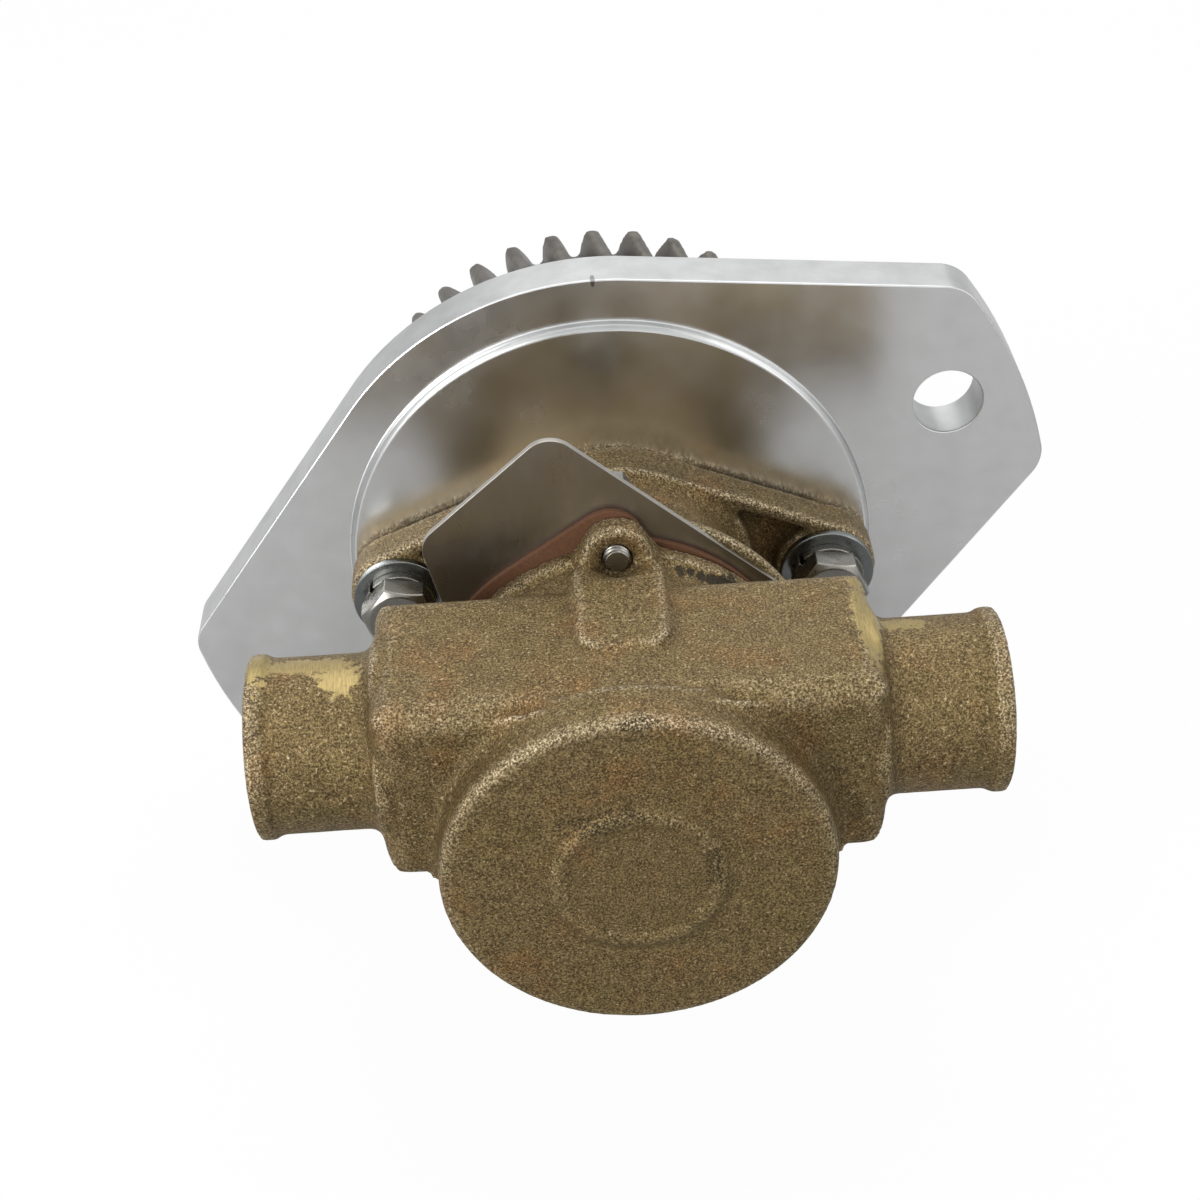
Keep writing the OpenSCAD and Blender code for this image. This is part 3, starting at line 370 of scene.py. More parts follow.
def cast_bronze():
    made = Finish("cast_bronze", (0.15, 0.105, 0.05), 0.55, 0.5, Specular_IOR_Level=0.28)
    grain = made.noise(0.36 * MM, detail=3, roughness=0.7)
    speck = made.noise(0.52 * MM, detail=2, roughness=0.55)
    patch = made.noise(11 * MM, detail=3, roughness=0.6)
    other = made.noise(11 * MM, detail=3, vector=made.shifted((0.3, 0.1, 0.2)))
    drift = made.noise(2.6 * MM, detail=3, roughness=0.6)
    bent = made.add("ShaderNodeNewGeometry").outputs["Pointiness"]
    edge = made.steps(bent, 0.503, 0.53)
    hollow = made.steps(bent, 0.497, 0.475)
    dark, mid, light = (0.056, 0.037, 0.013), (0.158, 0.109, 0.045), (0.30, 0.222, 0.098)
    # Tone from the grain and a slow drift; convex edges are pushed a little lighter, as painted
    # highlight.
    uneven = made.math("ADD", grain, made.math("ADD", made.steps(drift, 0.3, 0.7, -0.035, 0.035),
                                               made.math("MULTIPLY", edge, 0.05)))
    color = made.blend(made.steps(uneven, 0.40, 0.52), dark, mid)
    color = made.blend(made.steps(uneven, 0.53, 0.68), color, light)
    # Light flecks: partly lighter grains of metal, partly painted glints of the blasted surface.
    color = made.blend(made.steps(speck, 0.62, 0.70, 0, 0.7), color, (0.50, 0.41, 0.25))
    color = made.blend(made.steps(speck, 0.39, 0.31, 0, 0.7), color, (0.024, 0.017, 0.008))
    # Darker in concave hollows, where pointiness is low.
    color = made.blend(made.math("MULTIPLY", hollow, 0.35), color, (0.060, 0.038, 0.015))
    red = made.tinted(color, (1.17, 0.98, 0.88))
    green = made.tinted(color, (0.93, 0.96, 0.86))
    color = made.blend(made.steps(patch, 0.52, 0.68, 0, 0.85), color, red)
    color = made.blend(made.steps(other, 0.54, 0.70, 0, 0.8), color, green)
    # Painted highlight: bright flecks along convex edges, stronger where they face up, toned down
    # round the cap's boss.
    edge_highlight = made.math("MULTIPLY", edge, made.steps(grain, 0.50, 0.62, 0.05, 0.85))
    edge_highlight = made.math("MULTIPLY", edge_highlight, made.steps(made.along((0, 0, 1)), -0.1, 0.5, 0.3, 1.0))
    calm = made.spots((((0.0, -107.0, 0.0), (19.5, 5.0, 19.5)),), 0.5)
    edge_highlight = made.math("MULTIPLY", edge_highlight, made.steps(calm, 0, 1, 1.0, 0.25))
    color = made.blend(edge_highlight, color, (0.62, 0.53, 0.38))
    pits = made.math("MULTIPLY", edge, made.steps(speck, 0.46, 0.40, 0, 0.7))
    color = made.blend(pits, color, (0.030, 0.022, 0.011))
    crevice_noise = made.noise(0.8 * MM, detail=4)
    # Painted shade in dark patches, broken up by the grain.
    shade_patched = made.math("MULTIPLY", made.spots(SHADE_PATCHES, drift),
                        made.steps(grain, 0.6, 0.4, 0, 0.9))
    color = made.blend(shade_patched, color, (0.030, 0.021, 0.010))
    # Painted shadow along the crevice, its edge made ragged by the noise.
    ragged = made.steps(crevice_noise, 0.3, 0.7, 0.4, 0.6)
    crevice_shaded = made.math("MULTIPLY", made.spots(CREVICE_SHADE, ragged), 0.85)
    color = made.blend(crevice_shaded, color, (0.014, 0.011, 0.006))
    ground = made.spots(GROUND_SPOTS, made.noise(1.4 * MM, detail=4))
    lines = made.noise(0.25 * MM, detail=3, vector=made.stretched((1.0, 0.10, 0.10)))
    bright = made.blend(made.steps(lines, 0.35, 0.65), (0.24, 0.18, 0.070), (0.35, 0.27, 0.110))
    made.color(made.blend(ground, color, bright))
    made.rough(made.math("SUBTRACT", made.steps(grain, 0.3, 0.7, 0.60, 0.40),
                         made.math("MULTIPLY", ground, 0.12)))
    made.bump(grain, 0.17 * MM, made.steps(ground, 0, 1, 1.0, 0.15))
    made.bump(speck, 0.16 * MM, made.steps(ground, 0, 1, 0.9, 0.1))
    return made


# %% Other finishes
def plate_aluminium():
    """Face-milled: fine lines along X draw the reflections out in Z."""
    made = Finish("plate_aluminium", (0.82, 0.825, 0.825), 1.0, 0.2)
    lines = made.noise(0.35 * MM, detail=3, vector=made.stretched((0.03, 1, 1)))
    cloud = made.noise(18 * MM, detail=3)
    stain = made.noise(5 * MM, detail=5)
    face = made.facing((0, 1, 0))
    flat = made.blend(made.steps(stain, 0.35, 0.7), (0.85, 0.855, 0.855), (0.79, 0.795, 0.79))
    # Painted shade: the rim takes a darker copy of the face's colour, which tones down its lit
    # edges.
    rim = made.blend(made.steps(stain, 0.35, 0.7), (0.44, 0.445, 0.445), (0.38, 0.385, 0.385))
    punched = made.spots((((-0.7, -9.8, 61.0), (0.45, 1.7, 2.0)),), stain)
    made.color(made.blend(made.math("MULTIPLY", punched, 0.7), made.blend(face, rim, flat),
                          (0.12, 0.12, 0.12)))
    made.rough(made.math("ADD", made.steps(cloud, 0.35, 0.7, 0.21, 0.29),
                         made.steps(face, 0, 1, 0.12, 0.0)))
    made.brushed((1, 0, 0), 0.5)
    made.bump(lines, 0.0006 * MM, made.steps(face, 0, 1, 1.0, 0.0))
    return made


def wear_steel():
    """Cold rolled sheet, dull and darker than the plate, with fine rolling lines."""
    made = Finish("wear_steel", (0.40, 0.39, 0.37), 1.0, 0.3)
    lines = made.noise(0.3 * MM, detail=4, vector=made.stretched((1, 1, 0.04)))
    cloud = made.noise(6 * MM, detail=4)
    made.color(made.blend(made.steps(cloud, 0.35, 0.65), (0.37, 0.355, 0.325),
                          (0.32, 0.303, 0.272)))
    made.rough(made.math("ADD", made.steps(cloud, 0.35, 0.7, 0.28, 0.36),
                         made.steps(lines, 0.3, 0.7, -0.02, 0.02)))
    made.bump(lines, 0.0006 * MM)
    return made


def plated_steel(name, color, roughness):
    made = Finish(name, color, 1.0, roughness)
    patch = made.noise(2.5 * MM, detail=4)
    made.rough(made.steps(patch, 0.3, 0.7, roughness * 0.8, roughness * 1.3))
    tint = tuple(c * 0.86 for c in color)
    made.color(made.blend(made.steps(patch, 0.35, 0.65), color, tint))
    made.round_edges(0.3 * MM)
    made.bump(made.noise(0.5 * MM), 0.006 * MM)
    return made


def gear_steel():
    made = Finish("gear_steel", (0.10, 0.092, 0.082), 0.9, 0.38)
    patch = made.noise(3 * MM, detail=5)
    made.color(made.blend(made.steps(patch, 0.3, 0.7), (0.075, 0.068, 0.06), (0.15, 0.138, 0.122)))
    made.rough(made.steps(patch, 0.3, 0.7, 0.34, 0.5))
    made.bump(made.noise(0.35 * MM, vector=made.stretched((1, 0.2, 1))), 0.01 * MM)
    return made


def dull_solid(name, color, roughness, grain_size, depth):
    """Rubber, fibre and ceramic: no metal, a little darker in its pores."""
    made = Finish(name, color, 0.0, roughness)
    grain = made.noise(grain_size, detail=5)
    tint = tuple(c * 0.7 for c in color)
    made.color(made.blend(made.steps(grain, 0.35, 0.65), tint, color))
    made.bump(grain, depth)
    return made


def ground_steel(name, color, roughness):
    """Metal that was turned or ground round the shaft: fine rings along Y."""
    made = Finish(name, color, 1.0, roughness)
    rings = made.noise(0.4 * MM, detail=4, vector=made.stretched((0.05, 1, 0.05)))
    made.rough(made.steps(rings, 0.3, 0.7, roughness * 0.7, roughness * 1.4))
    made.round_edges(0.25 * MM)
    made.bump(rings, 0.003 * MM)
    return made


FINISHES = {
    "cast_bronze": cast_bronze(),
    "plate_aluminium": plate_aluminium(),
    "zinc_steel": plated_steel("zinc_steel", (0.27, 0.26, 0.235), 0.26),
    "washer_steel": plated_steel("washer_steel", (0.22, 0.232, 0.228), 0.24),
    "wear_steel": wear_steel(),
    "gear_steel": gear_steel(),
    "dark_steel": plated_steel("dark_steel", (0.08, 0.08, 0.082), 0.42),
    "shaft_steel": ground_steel("shaft_steel", (0.58, 0.58, 0.58), 0.2),
    "bearing_steel": ground_steel("bearing_steel", (0.62, 0.62, 0.63), 0.12),
    "machined_bronze": ground_steel("machined_bronze", (0.50, 0.36, 0.16), 0.26),
    "cage_brass": ground_steel("cage_brass", (0.55, 0.42, 0.20), 0.3),
    "gasket_fibre": dull_solid("gasket_fibre", (0.115, 0.046, 0.017), 0.8, 0.5 * MM, 0.05 * MM),
    "black_rubber": dull_solid("black_rubber", (0.02, 0.02, 0.021), 0.55, 0.8 * MM, 0.02 * MM),
    "brown_rubber": dull_solid("brown_rubber", (0.10, 0.03, 0.02), 0.5, 0.8 * MM, 0.02 * MM),
    "seal_ceramic": dull_solid("seal_ceramic", (0.80, 0.78, 0.70), 0.2, 0.6 * MM, 0.003 * MM),
    "seal_carbon": dull_solid("seal_carbon", (0.025, 0.025, 0.027), 0.3, 0.6 * MM, 0.005 * MM),
}
print("finishes:", len(FINISHES))

# %% [markdown]
# ## Machined pieces with broken edges
# A mesh from an engineering model is made of loose triangles and has knife edges. A real machined
# edge is broken by a file or a tool. A copy of the mesh is welded, its flat faces are joined again,
# and a Bevel modifier rounds the sharp edges. Only edges flatter than 12 degrees are smoothed, as
# on a turned wall. A flat face that shared its shading with a bevel would mirror like a bent one.

# %% Machined copies
WELD = 0.002 * MM
FLAT_ANGLE = math.radians(0.6)
SHARP_ANGLE = math.radians(30)
SMOOTH_ANGLE = math.radians(12)
BEVEL_SEGMENTS = 2
slot_of = {row["node"]: row["material_slot"] for row in frame["record"]["subparts"]}
body_of = {name: body for body, names in frame["record"]["behaviour"]["bodies"].items()
           for name in names}


def new_object(name, mesh):
    made = bpy.data.objects.new(name, mesh)
    bpy.context.scene.collection.objects.link(made)
    return made


def welded_copy(name):
    mesh = bpy.data.meshes.new(name + "_dressed")
    work = bmesh.new()
    work.from_mesh(nodes[name].data)
    bmesh.ops.remove_doubles(work, verts=work.verts, dist=WELD)
    bmesh.ops.recalc_face_normals(work, faces=work.faces)
    work.to_mesh(mesh)
    work.free()
    return new_object(name + "_dressed", mesh)


def bake_modifiers(obj):
    """The modifiers' result becomes the piece's own mesh."""
    shown = obj.evaluated_get(bpy.context.evaluated_depsgraph_get())
    mesh = bpy.data.meshes.new_from_object(shown)
    obj.modifiers.clear()
    obj.data = mesh
    return mesh


def smooth_turned_walls(mesh):
    mesh.shade_smooth()
    mesh.set_sharp_from_angle(angle=SMOOTH_ANGLE)


def stand_in(obj, name):
    """The piece takes the node's finish and body, and stands for it."""
    obj.data.materials.clear()
    obj.data.materials.append(FINISHES[slot_of[name]].material)
    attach(obj, body_of[name])
    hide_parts(name)


def break_edges(obj, width):
    bevel = obj.modifiers.new("edges", "BEVEL")
    bevel.width = width
    bevel.segments = BEVEL_SEGMENTS
    bevel.limit_method = "ANGLE"
    bevel.angle_limit = SHARP_ANGLE
    smooth_turned_walls(bake_modifiers(obj))


def machined(name, edge):
    made = welded_copy(name)
    work = bmesh.new()
    work.from_mesh(made.data)
    bmesh.ops.dissolve_limit(work, angle_limit=FLAT_ANGLE, verts=work.verts, edges=work.edges)
    work.to_mesh(made.data)
    work.free()
    break_edges(made, edge)
    stand_in(made, name)
    return made


for name, edge in (("adapter_plate", 0.3 * MM), ("housing_washers", 0.2 * MM),
                   ("housing_lock_washers", 0.15 * MM), ("body_lock_washers", 0.12 * MM),
                   ("wear_plate", 0.12 * MM), ("gear_washer", 0.3 * MM),
                   ("body_gasket", 0.15 * MM)):
    made = machined(name, edge)
    print(name, len(made.data.polygons), "faces")

# The gasket was pressed a little off to the left, so less of it stands out on the right. In mm.
TUCK, TUCK_START, TUCK_EASE = 1.2, 31, 8
gasket = bpy.data.objects["body_gasket_dressed"].data
for vertex in gasket.vertices:
    reach = math.hypot(vertex.co.x, vertex.co.z) / MM
    if vertex.co.x > 0 and reach > TUCK_START:
        vertex.co.x -= TUCK * MM * min(1.0, vertex.co.x / (TUCK_EASE * MM))

# %% [markdown]
# ## The screws and the nut
# A rolled thread is one groove that winds round the shank, and a hexagon head is a bar whose
# corners a cone has cut. Both follow a rule, so a short profile of rings makes one blank, and
# Geometry Nodes press the thread into it and set copies out round the shaft. The end of each screw
# has the small cone that lets it start in its hole. The housing screws' shanks are hidden, so they
# have no thread.

# %% Blanks made of rings
RING_POINTS = 48
RINGS_PER_THREAD = 6
HEAD_BEVEL = math.tan(math.radians(30))


def hexagon(flats):
    """The radius of a hexagon at each point of a ring."""
    sixth = math.radians(60)
    return [flats / 2 / math.cos((2 * math.pi * i / RING_POINTS) % sixth - sixth / 2)
            for i in range(RING_POINTS)]


def blank(name, rings, closed=False):
    """A solid of rings round Y. Each ring has a radius and a place, or one for each point."""
    angles = [2 * math.pi * i / RING_POINTS for i in range(RING_POINTS)]
    work = bmesh.new()
    made = []
    for radius, place in rings:
        radii = radius if isinstance(radius, list) else [radius] * RING_POINTS
        places = place if isinstance(place, list) else [place] * RING_POINTS
        made.append([work.verts.new((r * math.cos(a), y, r * math.sin(a)))
                     for r, y, a in zip(radii, places, angles)])
    pairs = list(zip(made, made[1:])) + ([(made[-1], made[0])] if closed else [])
    for low, high in pairs:
        for i in range(RING_POINTS):
            j = (i + 1) % RING_POINTS
            work.faces.new((low[i], low[j], high[j], high[i]))
    if not closed:
        work.faces.new(made[0])
        work.faces.new(made[-1])
    bmesh.ops.recalc_face_normals(work, faces=work.faces)
    mesh = bpy.data.meshes.new(name)
    work.to_mesh(mesh)
    work.free()
    return mesh


def shank_rings(radius, length, pitch, chamfer):
    """The shank from its end at -length up to the seat at 0."""
    count = int(RINGS_PER_THREAD * (length - chamfer) / pitch)
    walls = [(radius, -length + chamfer + (length - chamfer) * i / count) for i in range(count + 1)]
    return [(radius - chamfer, -length)] + walls


def head_rings(flats, height, edge=0.12 * MM):
    outline = hexagon(flats)
    crown = 0.45 * flats
    cone = [height - max(r - crown, 0) * HEAD_BEVEL for r in outline]
    return [([r - edge for r in outline], 0.0), (outline, edge),
            (outline, [z - edge for z in cone]),
            ([r - edge for r in outline], [z + edge * (HEAD_BEVEL - 0.3) for z in cone]),
            (crown + edge, height - edge * HEAD_BEVEL), (crown - edge, height)]


# %% The screw tree
# How far a point may lie off the shank's radius and still count as one of the shank's
SHANK_SLACK = 0.05 * MM


def screw_tree():
    """Presses a thread into a blank and sets copies of it out on a circle round Y."""
    tree = bpy.data.node_groups.new("screw_circle", "GeometryNodeTree")
    inputs = {}
    for label, kind in (("Geometry", "Geometry"), ("Count", "Int"), ("Circle radius", "Float"),
                        ("Start angle", "Float"), ("Turn", "Float"), ("Turn step", "Float"),
                        ("Seat", "Float"), ("Shank radius", "Float"), ("Pitch", "Float"),
                        ("Thread depth", "Float"), ("Thread top", "Float"),
                        ("Finish", "Material")):
        inputs[label] = tree.interface.new_socket(label, in_out="INPUT",
                                                  socket_type="NodeSocket" + kind).identifier
    tree.interface.new_socket("Geometry", in_out="OUTPUT", socket_type="NodeSocketGeometry")
    start = tree.nodes.new("NodeGroupInput").outputs
    end = tree.nodes.new("NodeGroupOutput")

    def math_node(operation, first, second=0.0):
        return add_node(tree, "ShaderNodeMath", {"operation": operation}, i0=first,
                        i1=second).outputs[0]

    place = tree.nodes.new("GeometryNodeInputPosition").outputs[0]
    parts = add_node(tree, "ShaderNodeSeparateXYZ", Vector=place).outputs
    flat = add_node(tree, "ShaderNodeVectorMath", {"operation": "MULTIPLY"}, i0=place,
                    i1=(1.0, 0.0, 1.0)).outputs[0]
    reach = add_node(tree, "ShaderNodeVectorMath", {"operation": "LENGTH"},
                     i0=flat).outputs["Value"]
    outward = add_node(tree, "ShaderNodeVectorMath", {"operation": "NORMALIZE"},
                       i0=flat).outputs[0]
    round_share = math_node("DIVIDE", math_node("ARCTAN2", parts["X"], parts["Z"]), 2 * math.pi)
    phase = math_node("ADD", math_node("DIVIDE", parts["Y"], start["Pitch"]), round_share)
    groove = math_node("PINGPONG", phase, 0.5)
    depth = math_node("MULTIPLY", math_node("MULTIPLY", groove, -2.0), start["Thread depth"])
    on_shank = math_node("MULTIPLY", math_node("COMPARE", reach, start["Shank radius"]),
                         math_node("LESS_THAN", parts["Y"], start["Thread top"]))
    compare = on_shank.node.inputs[0].links[0].from_node
    compare.inputs[2].default_value = SHANK_SLACK
    pressed = add_node(tree, "ShaderNodeVectorMath", {"operation": "SCALE"}, i0=outward,
                       Scale=depth)
    threaded = add_node(tree, "GeometryNodeSetPosition", Geometry=start["Geometry"],
                        Selection=on_shank, Offset=pressed.outputs[0])

    index = tree.nodes.new("GeometryNodeInputIndex").outputs[0]
    step = math_node("DIVIDE", 2 * math.pi, start["Count"])
    angle = math_node("ADD", math_node("MULTIPLY", index, step), start["Start angle"])
    spot = add_node(tree, "ShaderNodeCombineXYZ",
                    X=math_node("MULTIPLY", math_node("COSINE", angle), start["Circle radius"]),
                    Y=start["Seat"],
                    Z=math_node("MULTIPLY", math_node("SINE", angle), start["Circle radius"]))
    points = add_node(tree, "GeometryNodePoints", Count=start["Count"], Position=spot.outputs[0])
    turned = add_node(tree, "ShaderNodeCombineXYZ",
                      Y=math_node("ADD", math_node("MULTIPLY", index, start["Turn step"]),
                                  start["Turn"]))
    copies = add_node(tree, "GeometryNodeInstanceOnPoints", Points=points.outputs[0],
                      Instance=threaded.outputs[0], Rotation=turned.outputs[0])
    solid = add_node(tree, "GeometryNodeRealizeInstances", Geometry=copies.outputs[0])
    cover = add_node(tree, "GeometryNodeSetMaterial", Geometry=solid.outputs[0],
                     Material=start["Finish"])
    tree.links.new(cover.outputs[0], end.inputs[0])
    return tree, inputs


SCREWS, SCREW_INPUTS = screw_tree()


def set_out(name, mesh, values):
    made = new_object(name + "_dressed", mesh)
    maker = made.modifiers.new("screws", "NODES")
    maker.node_group = SCREWS
    for label, value in values.items():
        maker[SCREW_INPUTS[label]] = value
    maker[SCREW_INPUTS["Finish"]] = FINISHES[slot_of[name]].material
    smooth_turned_walls(bake_modifiers(made))
    return made


# %% Body screws and housing screws
def node_box(name):
    return [[value / MM for value in corner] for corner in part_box(name)]


BODY_SEAT = node_box("body_lock_washers")[1][1] * MM
HOUSING_SEAT = node_box("housing_lock_washers")[0][1] * MM
BODY_HEAD = node_box("body_screws")[1][1] * MM - BODY_SEAT
BODY_LENGTH = BODY_SEAT - node_box("body_screws")[0][1] * MM
HOUSING_HEAD = HOUSING_SEAT - node_box("housing_screws")[0][1] * MM
HOUSING_LENGTH = node_box("housing_screws")[1][1] * MM - HOUSING_SEAT
BODY_RADIUS, BODY_PITCH, BODY_FLATS = 2.5 * MM, 0.8 * MM, 8 * MM
BODY_CIRCLE, BODY_THREAD_DEPTH, BODY_THREAD_TOP = 32.4 * MM, 0.42 * MM, -4 * MM
HOUSING_RADIUS, HOUSING_PITCH, HOUSING_FLATS = 4 * MM, 1.25 * MM, 13 * MM
HOUSING_CIRCLE = 42 * MM

mesh = blank("body_screw", shank_rings(BODY_RADIUS, BODY_LENGTH, BODY_PITCH, 0.5 * MM)
             + head_rings(BODY_FLATS, BODY_HEAD))
made = set_out("body_screws", mesh, {
    "Count": 3, "Circle radius": BODY_CIRCLE, "Start angle": math.radians(90), "Turn": 0.0,
    "Turn step": math.radians(-120), "Seat": BODY_SEAT, "Shank radius": BODY_RADIUS,
    "Pitch": BODY_PITCH, "Thread depth": BODY_THREAD_DEPTH, "Thread top": BODY_THREAD_TOP})
stand_in(made, "body_screws")

mesh = blank("housing_screw", shank_rings(HOUSING_RADIUS, HOUSING_LENGTH, HOUSING_PITCH, 0.7 * MM)
             + head_rings(HOUSING_FLATS, HOUSING_HEAD, 0.18 * MM))
mesh.transform(Matrix.Rotation(math.pi, 4, "Z"))
made = set_out("housing_screws", mesh, {
    "Count": 2, "Circle radius": HOUSING_CIRCLE, "Start angle": 0.0, "Turn": math.radians(8),
    "Turn step": math.radians(4), "Seat": HOUSING_SEAT, "Shank radius": HOUSING_RADIUS,
    "Pitch": HOUSING_PITCH, "Thread depth": 0.0, "Thread top": 1.0})
stand_in(made, "housing_screws")
print("seats in mm:", round(BODY_SEAT / MM, 2), round(HOUSING_SEAT / MM, 2))

# %% The nut and the threaded end of the shaft
nut_low, nut_high = node_box("gear_nut")
nut_back, nut_front = nut_low[1] * MM, nut_high[1] * MM
NUT_FLATS, NUT_BORE, NUT_FACE, NUT_CUT = 24 * MM, 8.05 * MM, 11.4 * MM, 11.6 * MM
outline = hexagon(NUT_FLATS)
cut_back = [max(r - NUT_CUT, 0) * HEAD_BEVEL for r in outline]
mesh = blank("nut", [(NUT_BORE, nut_back + 0.4 * MM), (8.5 * MM, nut_back), (NUT_FACE, nut_back),
                     (outline, [nut_back + z for z in cut_back]),
                     (outline, [nut_front - z for z in cut_back]), (NUT_FACE, nut_front),
                     (8.9 * MM, nut_front), (NUT_BORE, nut_front - 0.7 * MM)], closed=True)
made = new_object("gear_nut_dressed", mesh)
smooth_turned_walls(mesh)
stand_in(made, "gear_nut")

END_RADIUS, END_PITCH, END_CHAMFER, END_THREAD_DEPTH = 8 * MM, 1.5 * MM, 1.0 * MM, 0.75 * MM
shaft_end = node_box("shaft")[1][1] * MM
stub_start = nut_back - 1.0 * MM
made = welded_copy("shaft")
work = bmesh.new()
work.from_mesh(made.data)
bmesh.ops.bisect_plane(work, geom=work.verts[:] + work.edges[:] + work.faces[:],
                       plane_co=(0, stub_start, 0), plane_no=(0, 1, 0), clear_outer=True)
bmesh.ops.holes_fill(work, edges=[e for e in work.edges if e.is_boundary])
bmesh.ops.dissolve_limit(work, angle_limit=FLAT_ANGLE, verts=work.verts, edges=work.edges)
work.to_mesh(made.data)
work.free()
break_edges(made, 0.15 * MM)
rings = shank_rings(END_RADIUS, shaft_end - stub_start, END_PITCH, END_CHAMFER)
stub = set_out("shaft", blank("shaft_thread", rings + [(7.0 * MM, 0.0)]), {
    "Count": 1, "Circle radius": 0.0, "Start angle": 0.0, "Turn": 0.0, "Turn step": 0.0,
    "Seat": 0.0, "Shank radius": END_RADIUS, "Pitch": END_PITCH,
    "Thread depth": END_THREAD_DEPTH, "Thread top": -0.1 * MM})
stub.data.transform(Matrix.Translation((0, stub_start, 0)) @ Matrix.Rotation(math.pi, 4, "Z"))
join = bmesh.new()
join.from_mesh(made.data)
join.from_mesh(stub.data)
join.to_mesh(made.data)
join.free()
bpy.data.objects.remove(stub)
smooth_turned_walls(made.data)
stand_in(made, "shaft")
print("threaded end in mm:", round(stub_start / MM, 1), "to", round(shaft_end / MM, 1))

# %% [markdown]
# ## The castings
# A casting has no sharp corner: the sand mould rounds each one, and metal fills each inside corner
# with a fillet. Remeshing the solid in small cubes and smoothing it gives both at once. Geometry
# Nodes then push the skin in and out by the grain of the sand, but not in the turned bores.

# %% Casting skins
SKIN_VOXEL = 0.69 * MM


def sand_tree():
    """Moves the points along their normals by two sizes of noise, outside a turned bore."""
    tree = bpy.data.node_groups.new("sand_skin", "GeometryNodeTree")
    inputs = {}
    for label, kind, value in (("Geometry", "NodeSocketGeometry", None),
                               ("Grain size", "NodeSocketFloat", 2.2 * MM),
                               ("Grain depth", "NodeSocketFloat", 0.10 * MM),
                               ("Wave size", "NodeSocketFloat", 16 * MM),
                               ("Wave depth", "NodeSocketFloat", 0.25 * MM),
                               ("Bore radius", "NodeSocketFloat", 20 * MM),
                               ("Seed", "NodeSocketInt", 3)):
        socket = tree.interface.new_socket(label, in_out="INPUT", socket_type=kind)
        if value is not None:
            socket.default_value = value
        inputs[label] = socket.identifier
    tree.interface.new_socket("Geometry", in_out="OUTPUT", socket_type="NodeSocketGeometry")
    start = tree.nodes.new("NodeGroupInput")
    end = tree.nodes.new("NodeGroupOutput")
    place = tree.nodes.new("GeometryNodeInputPosition").outputs[0]
    normal = tree.nodes.new("GeometryNodeInputNormal").outputs[0]

    def swing(size, depth, shift):
        """Noise about zero, size wide and depth deep."""
        scale = add_node(tree, "ShaderNodeMath", {"operation": "DIVIDE"}, i0=1.0, i1=size)
        noise = add_node(tree, "ShaderNodeTexNoise", {"noise_dimensions": "4D"}, Vector=place,
                         W=shift, Scale=scale.outputs[0], Detail=2.0)
        centred = add_node(tree, "ShaderNodeMath", {"operation": "SUBTRACT"},
                           i0=noise.outputs[0], i1=0.5)
        return add_node(tree, "ShaderNodeMath", {"operation": "MULTIPLY"}, i0=centred.outputs[0],
                        i1=depth).outputs[0]

    total = add_node(tree, "ShaderNodeMath", {"operation": "ADD"},
                     i0=swing(start.outputs["Grain size"], start.outputs["Grain depth"],
                              start.outputs["Seed"]),
                     i1=swing(start.outputs["Wave size"], start.outputs["Wave depth"],
                              start.outputs["Seed"]))
    flat = add_node(tree, "ShaderNodeVectorMath", {"operation": "MULTIPLY"}, i0=place,
                    i1=(1.0, 0.0, 1.0))
    reach = add_node(tree, "ShaderNodeVectorMath", {"operation": "LENGTH"}, i0=flat.outputs[0])
    outside = add_node(tree, "ShaderNodeMath", {"operation": "GREATER_THAN"},
                       i0=reach.outputs["Value"], i1=start.outputs["Bore radius"])
    amount = add_node(tree, "ShaderNodeMath", {"operation": "MULTIPLY"}, i0=total.outputs[0],
                      i1=outside.outputs[0])
    offset = add_node(tree, "ShaderNodeVectorMath", {"operation": "SCALE"}, i0=normal,
                      Scale=amount.outputs[0])
    moved = add_node(tree, "GeometryNodeSetPosition", Geometry=start.outputs["Geometry"],
                     Offset=offset.outputs[0])
    solid = add_node(tree, "GeometryNodeRealizeInstances", Geometry=moved.outputs[0])
    cover = add_node(tree, "GeometryNodeSetMaterial", Geometry=solid.outputs[0],
                     Material=FINISHES["cast_bronze"].material)
    tree.links.new(cover.outputs[0], end.inputs[0])
    return tree, inputs


SAND, SAND_INPUTS = sand_tree()


def soft_skin(name, voxel, rounds):
    made = welded_copy(name)
    cubes = made.modifiers.new("cubes", "REMESH")
    cubes.mode = "VOXEL"
    cubes.voxel_size = voxel
    soften = made.modifiers.new("soften", "SMOOTH")
    soften.factor = 0.5
    soften.iterations = rounds
    return made


def casting(name, bore_radius, rounds):
    made = soft_skin(name, SKIN_VOXEL, rounds)
    sand = made.modifiers.new("sand", "NODES")
    sand.node_group = SAND
    sand[SAND_INPUTS["Bore radius"]] = bore_radius
    mesh = bake_modifiers(made)
    mesh.shade_smooth()
    stand_in(made, name)
    return made


# Node, the radius inside which its bore was turned, and how often its skin is smoothed
CASTINGS = (("pump_body", 27.6 * MM, 3), ("bearing_housing", 22.0 * MM, 8))
for name, bore_radius, rounds in CASTINGS:
    made = casting(name, bore_radius, rounds)
    print(name, len(made.data.polygons), "faces")

# %% [markdown]
# ## Hand work on the body's skin
# A pattern maker dresses a wooden pattern with a rasp: the hollow in front of the top screw, which
# lets a socket reach it, and the two lower corners of the port block, which are rounder than its
# other corners. The points of the skin are moved the same way, each by a smooth rule.

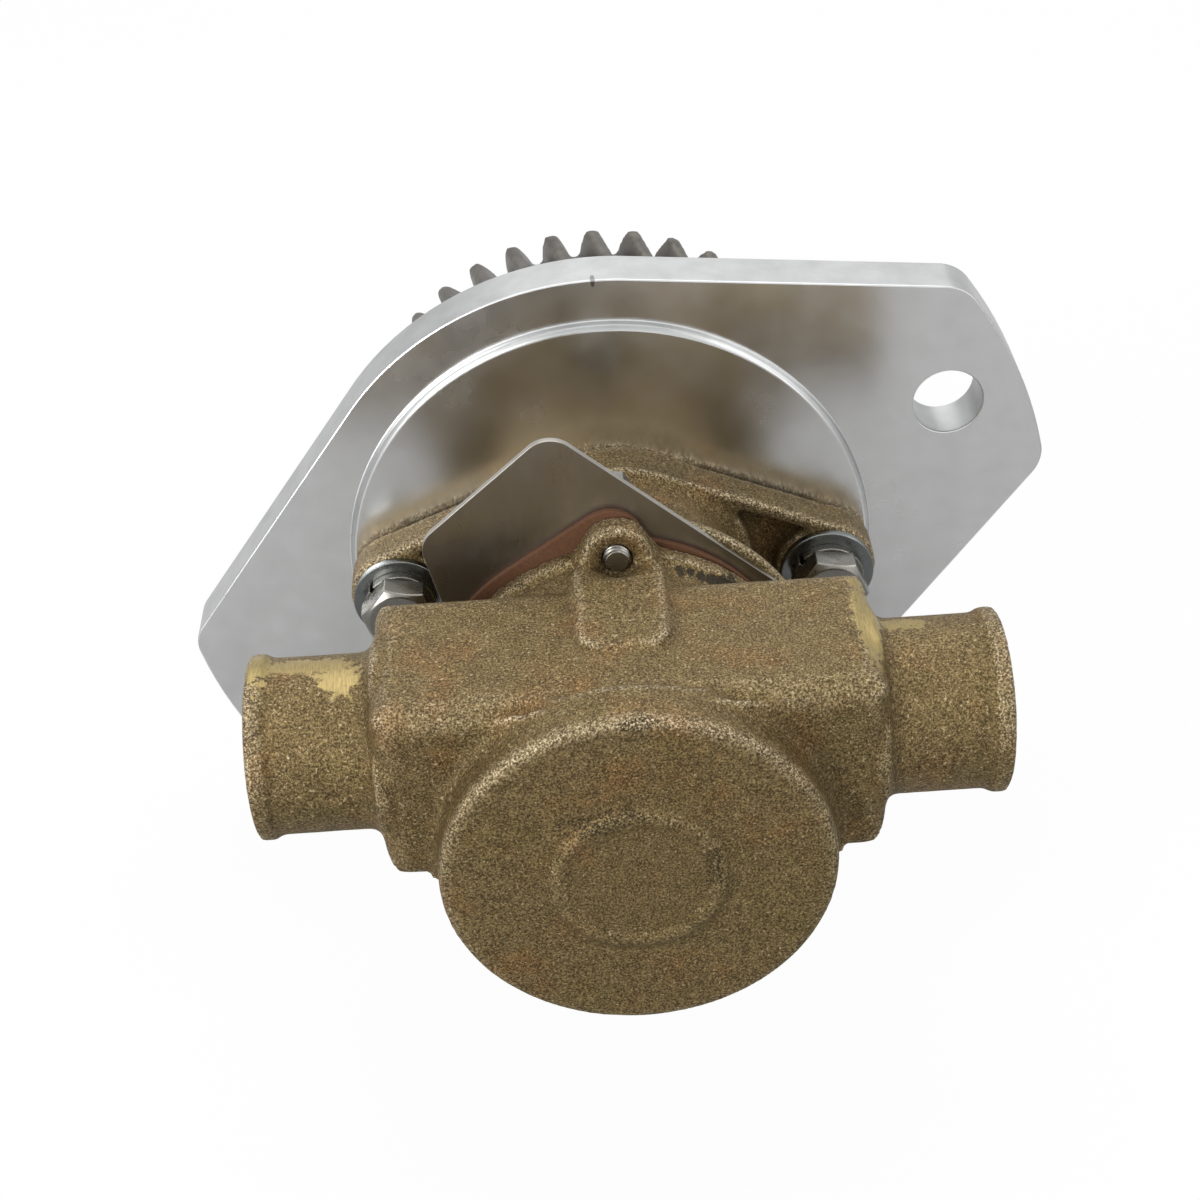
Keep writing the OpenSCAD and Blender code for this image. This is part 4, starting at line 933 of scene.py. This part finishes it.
# %% The hollow and the corners
# In millimetres
HOLLOW_DEPTH, HOLLOW_HALF, HOLLOW_LENGTH, HOLLOW_FLOOR = 2.4, 3.4, 5.0, 28.5
CORNER_RADIUS, CORNER_LIFT, CORNER_TOP = 6.6, 0.7, 5
BLOCK_REACH, BLOCK_FLOOR, BARREL_REACH = 42.2, -5.15, 32.6
PORT_Y, PORT_Z, SPIGOT_RADIUS = -81.0, 12.7, 15.8
screw_front = node_box("body_screws")[0][1]


def ease(value):
    """A smooth step from 0 to 1."""
    value = min(max(value, 0.0), 1.0)
    return value * value * (3 - 2 * value)


body = bpy.data.objects["pump_body_dressed"]
for vertex in body.data.vertices:
    x, y, z = vertex.co / MM
    over_hollow = screw_front - HOLLOW_LENGTH < y < screw_front + 0.6
    if z > HOLLOW_FLOOR and abs(x) < 3 * HOLLOW_HALF and over_hollow:
        share = ease((y - screw_front + HOLLOW_LENGTH) / HOLLOW_LENGTH)
        z = max(z - HOLLOW_DEPTH * share * math.exp(-(x / HOLLOW_HALF) ** 2),
                min(z, HOLLOW_FLOOR))
    share = ease(math.hypot(y - PORT_Y, z - PORT_Z) - SPIGOT_RADIUS)
    if z < CORNER_TOP and BARREL_REACH < abs(x) < BLOCK_REACH + 0.5 and share > 0:
        lift = CORNER_LIFT * ease((abs(x) - BARREL_REACH) / 2)
        low = max(z, BLOCK_FLOOR + lift)
        side = abs(x) - (BLOCK_REACH - CORNER_RADIUS)
        down = BLOCK_FLOOR + lift + CORNER_RADIUS - low
        shrink = 1.0
        if side > 0 and down > 0:
            shrink = min(1.0, CORNER_RADIUS / math.hypot(side, down))
        x = math.copysign(abs(x) - max(side, 0) * (1 - shrink) * share, x)
        z += (low - z + max(down, 0) * (1 - shrink)) * share
    vertex.co = Vector((x, y, z)) * MM
print("screw end at y", round(screw_front, 2), "mm")

# %% [markdown]
# ## The gear
# The teeth of a drive gear are cut, then tumbled, so that their edges are round and dull. The same
# remesh with smaller cubes and fewer rounds of smoothing does that to all the teeth at once.

# %% Gear skin
GEAR_VOXEL = 0.61 * MM
made = soft_skin("drive_gear", GEAR_VOXEL, 2)
mesh = bake_modifiers(made)
mesh.shade_smooth()
stand_in(made, "drive_gear")
print("drive_gear", len(mesh.polygons), "faces")

# %% Give each node its finish
for name, obj in nodes.items():
    obj.data.materials.clear()
    obj.data.materials.append(FINISHES[slot_of[name]].material)
print("nodes with a finish:", len(slot_of))
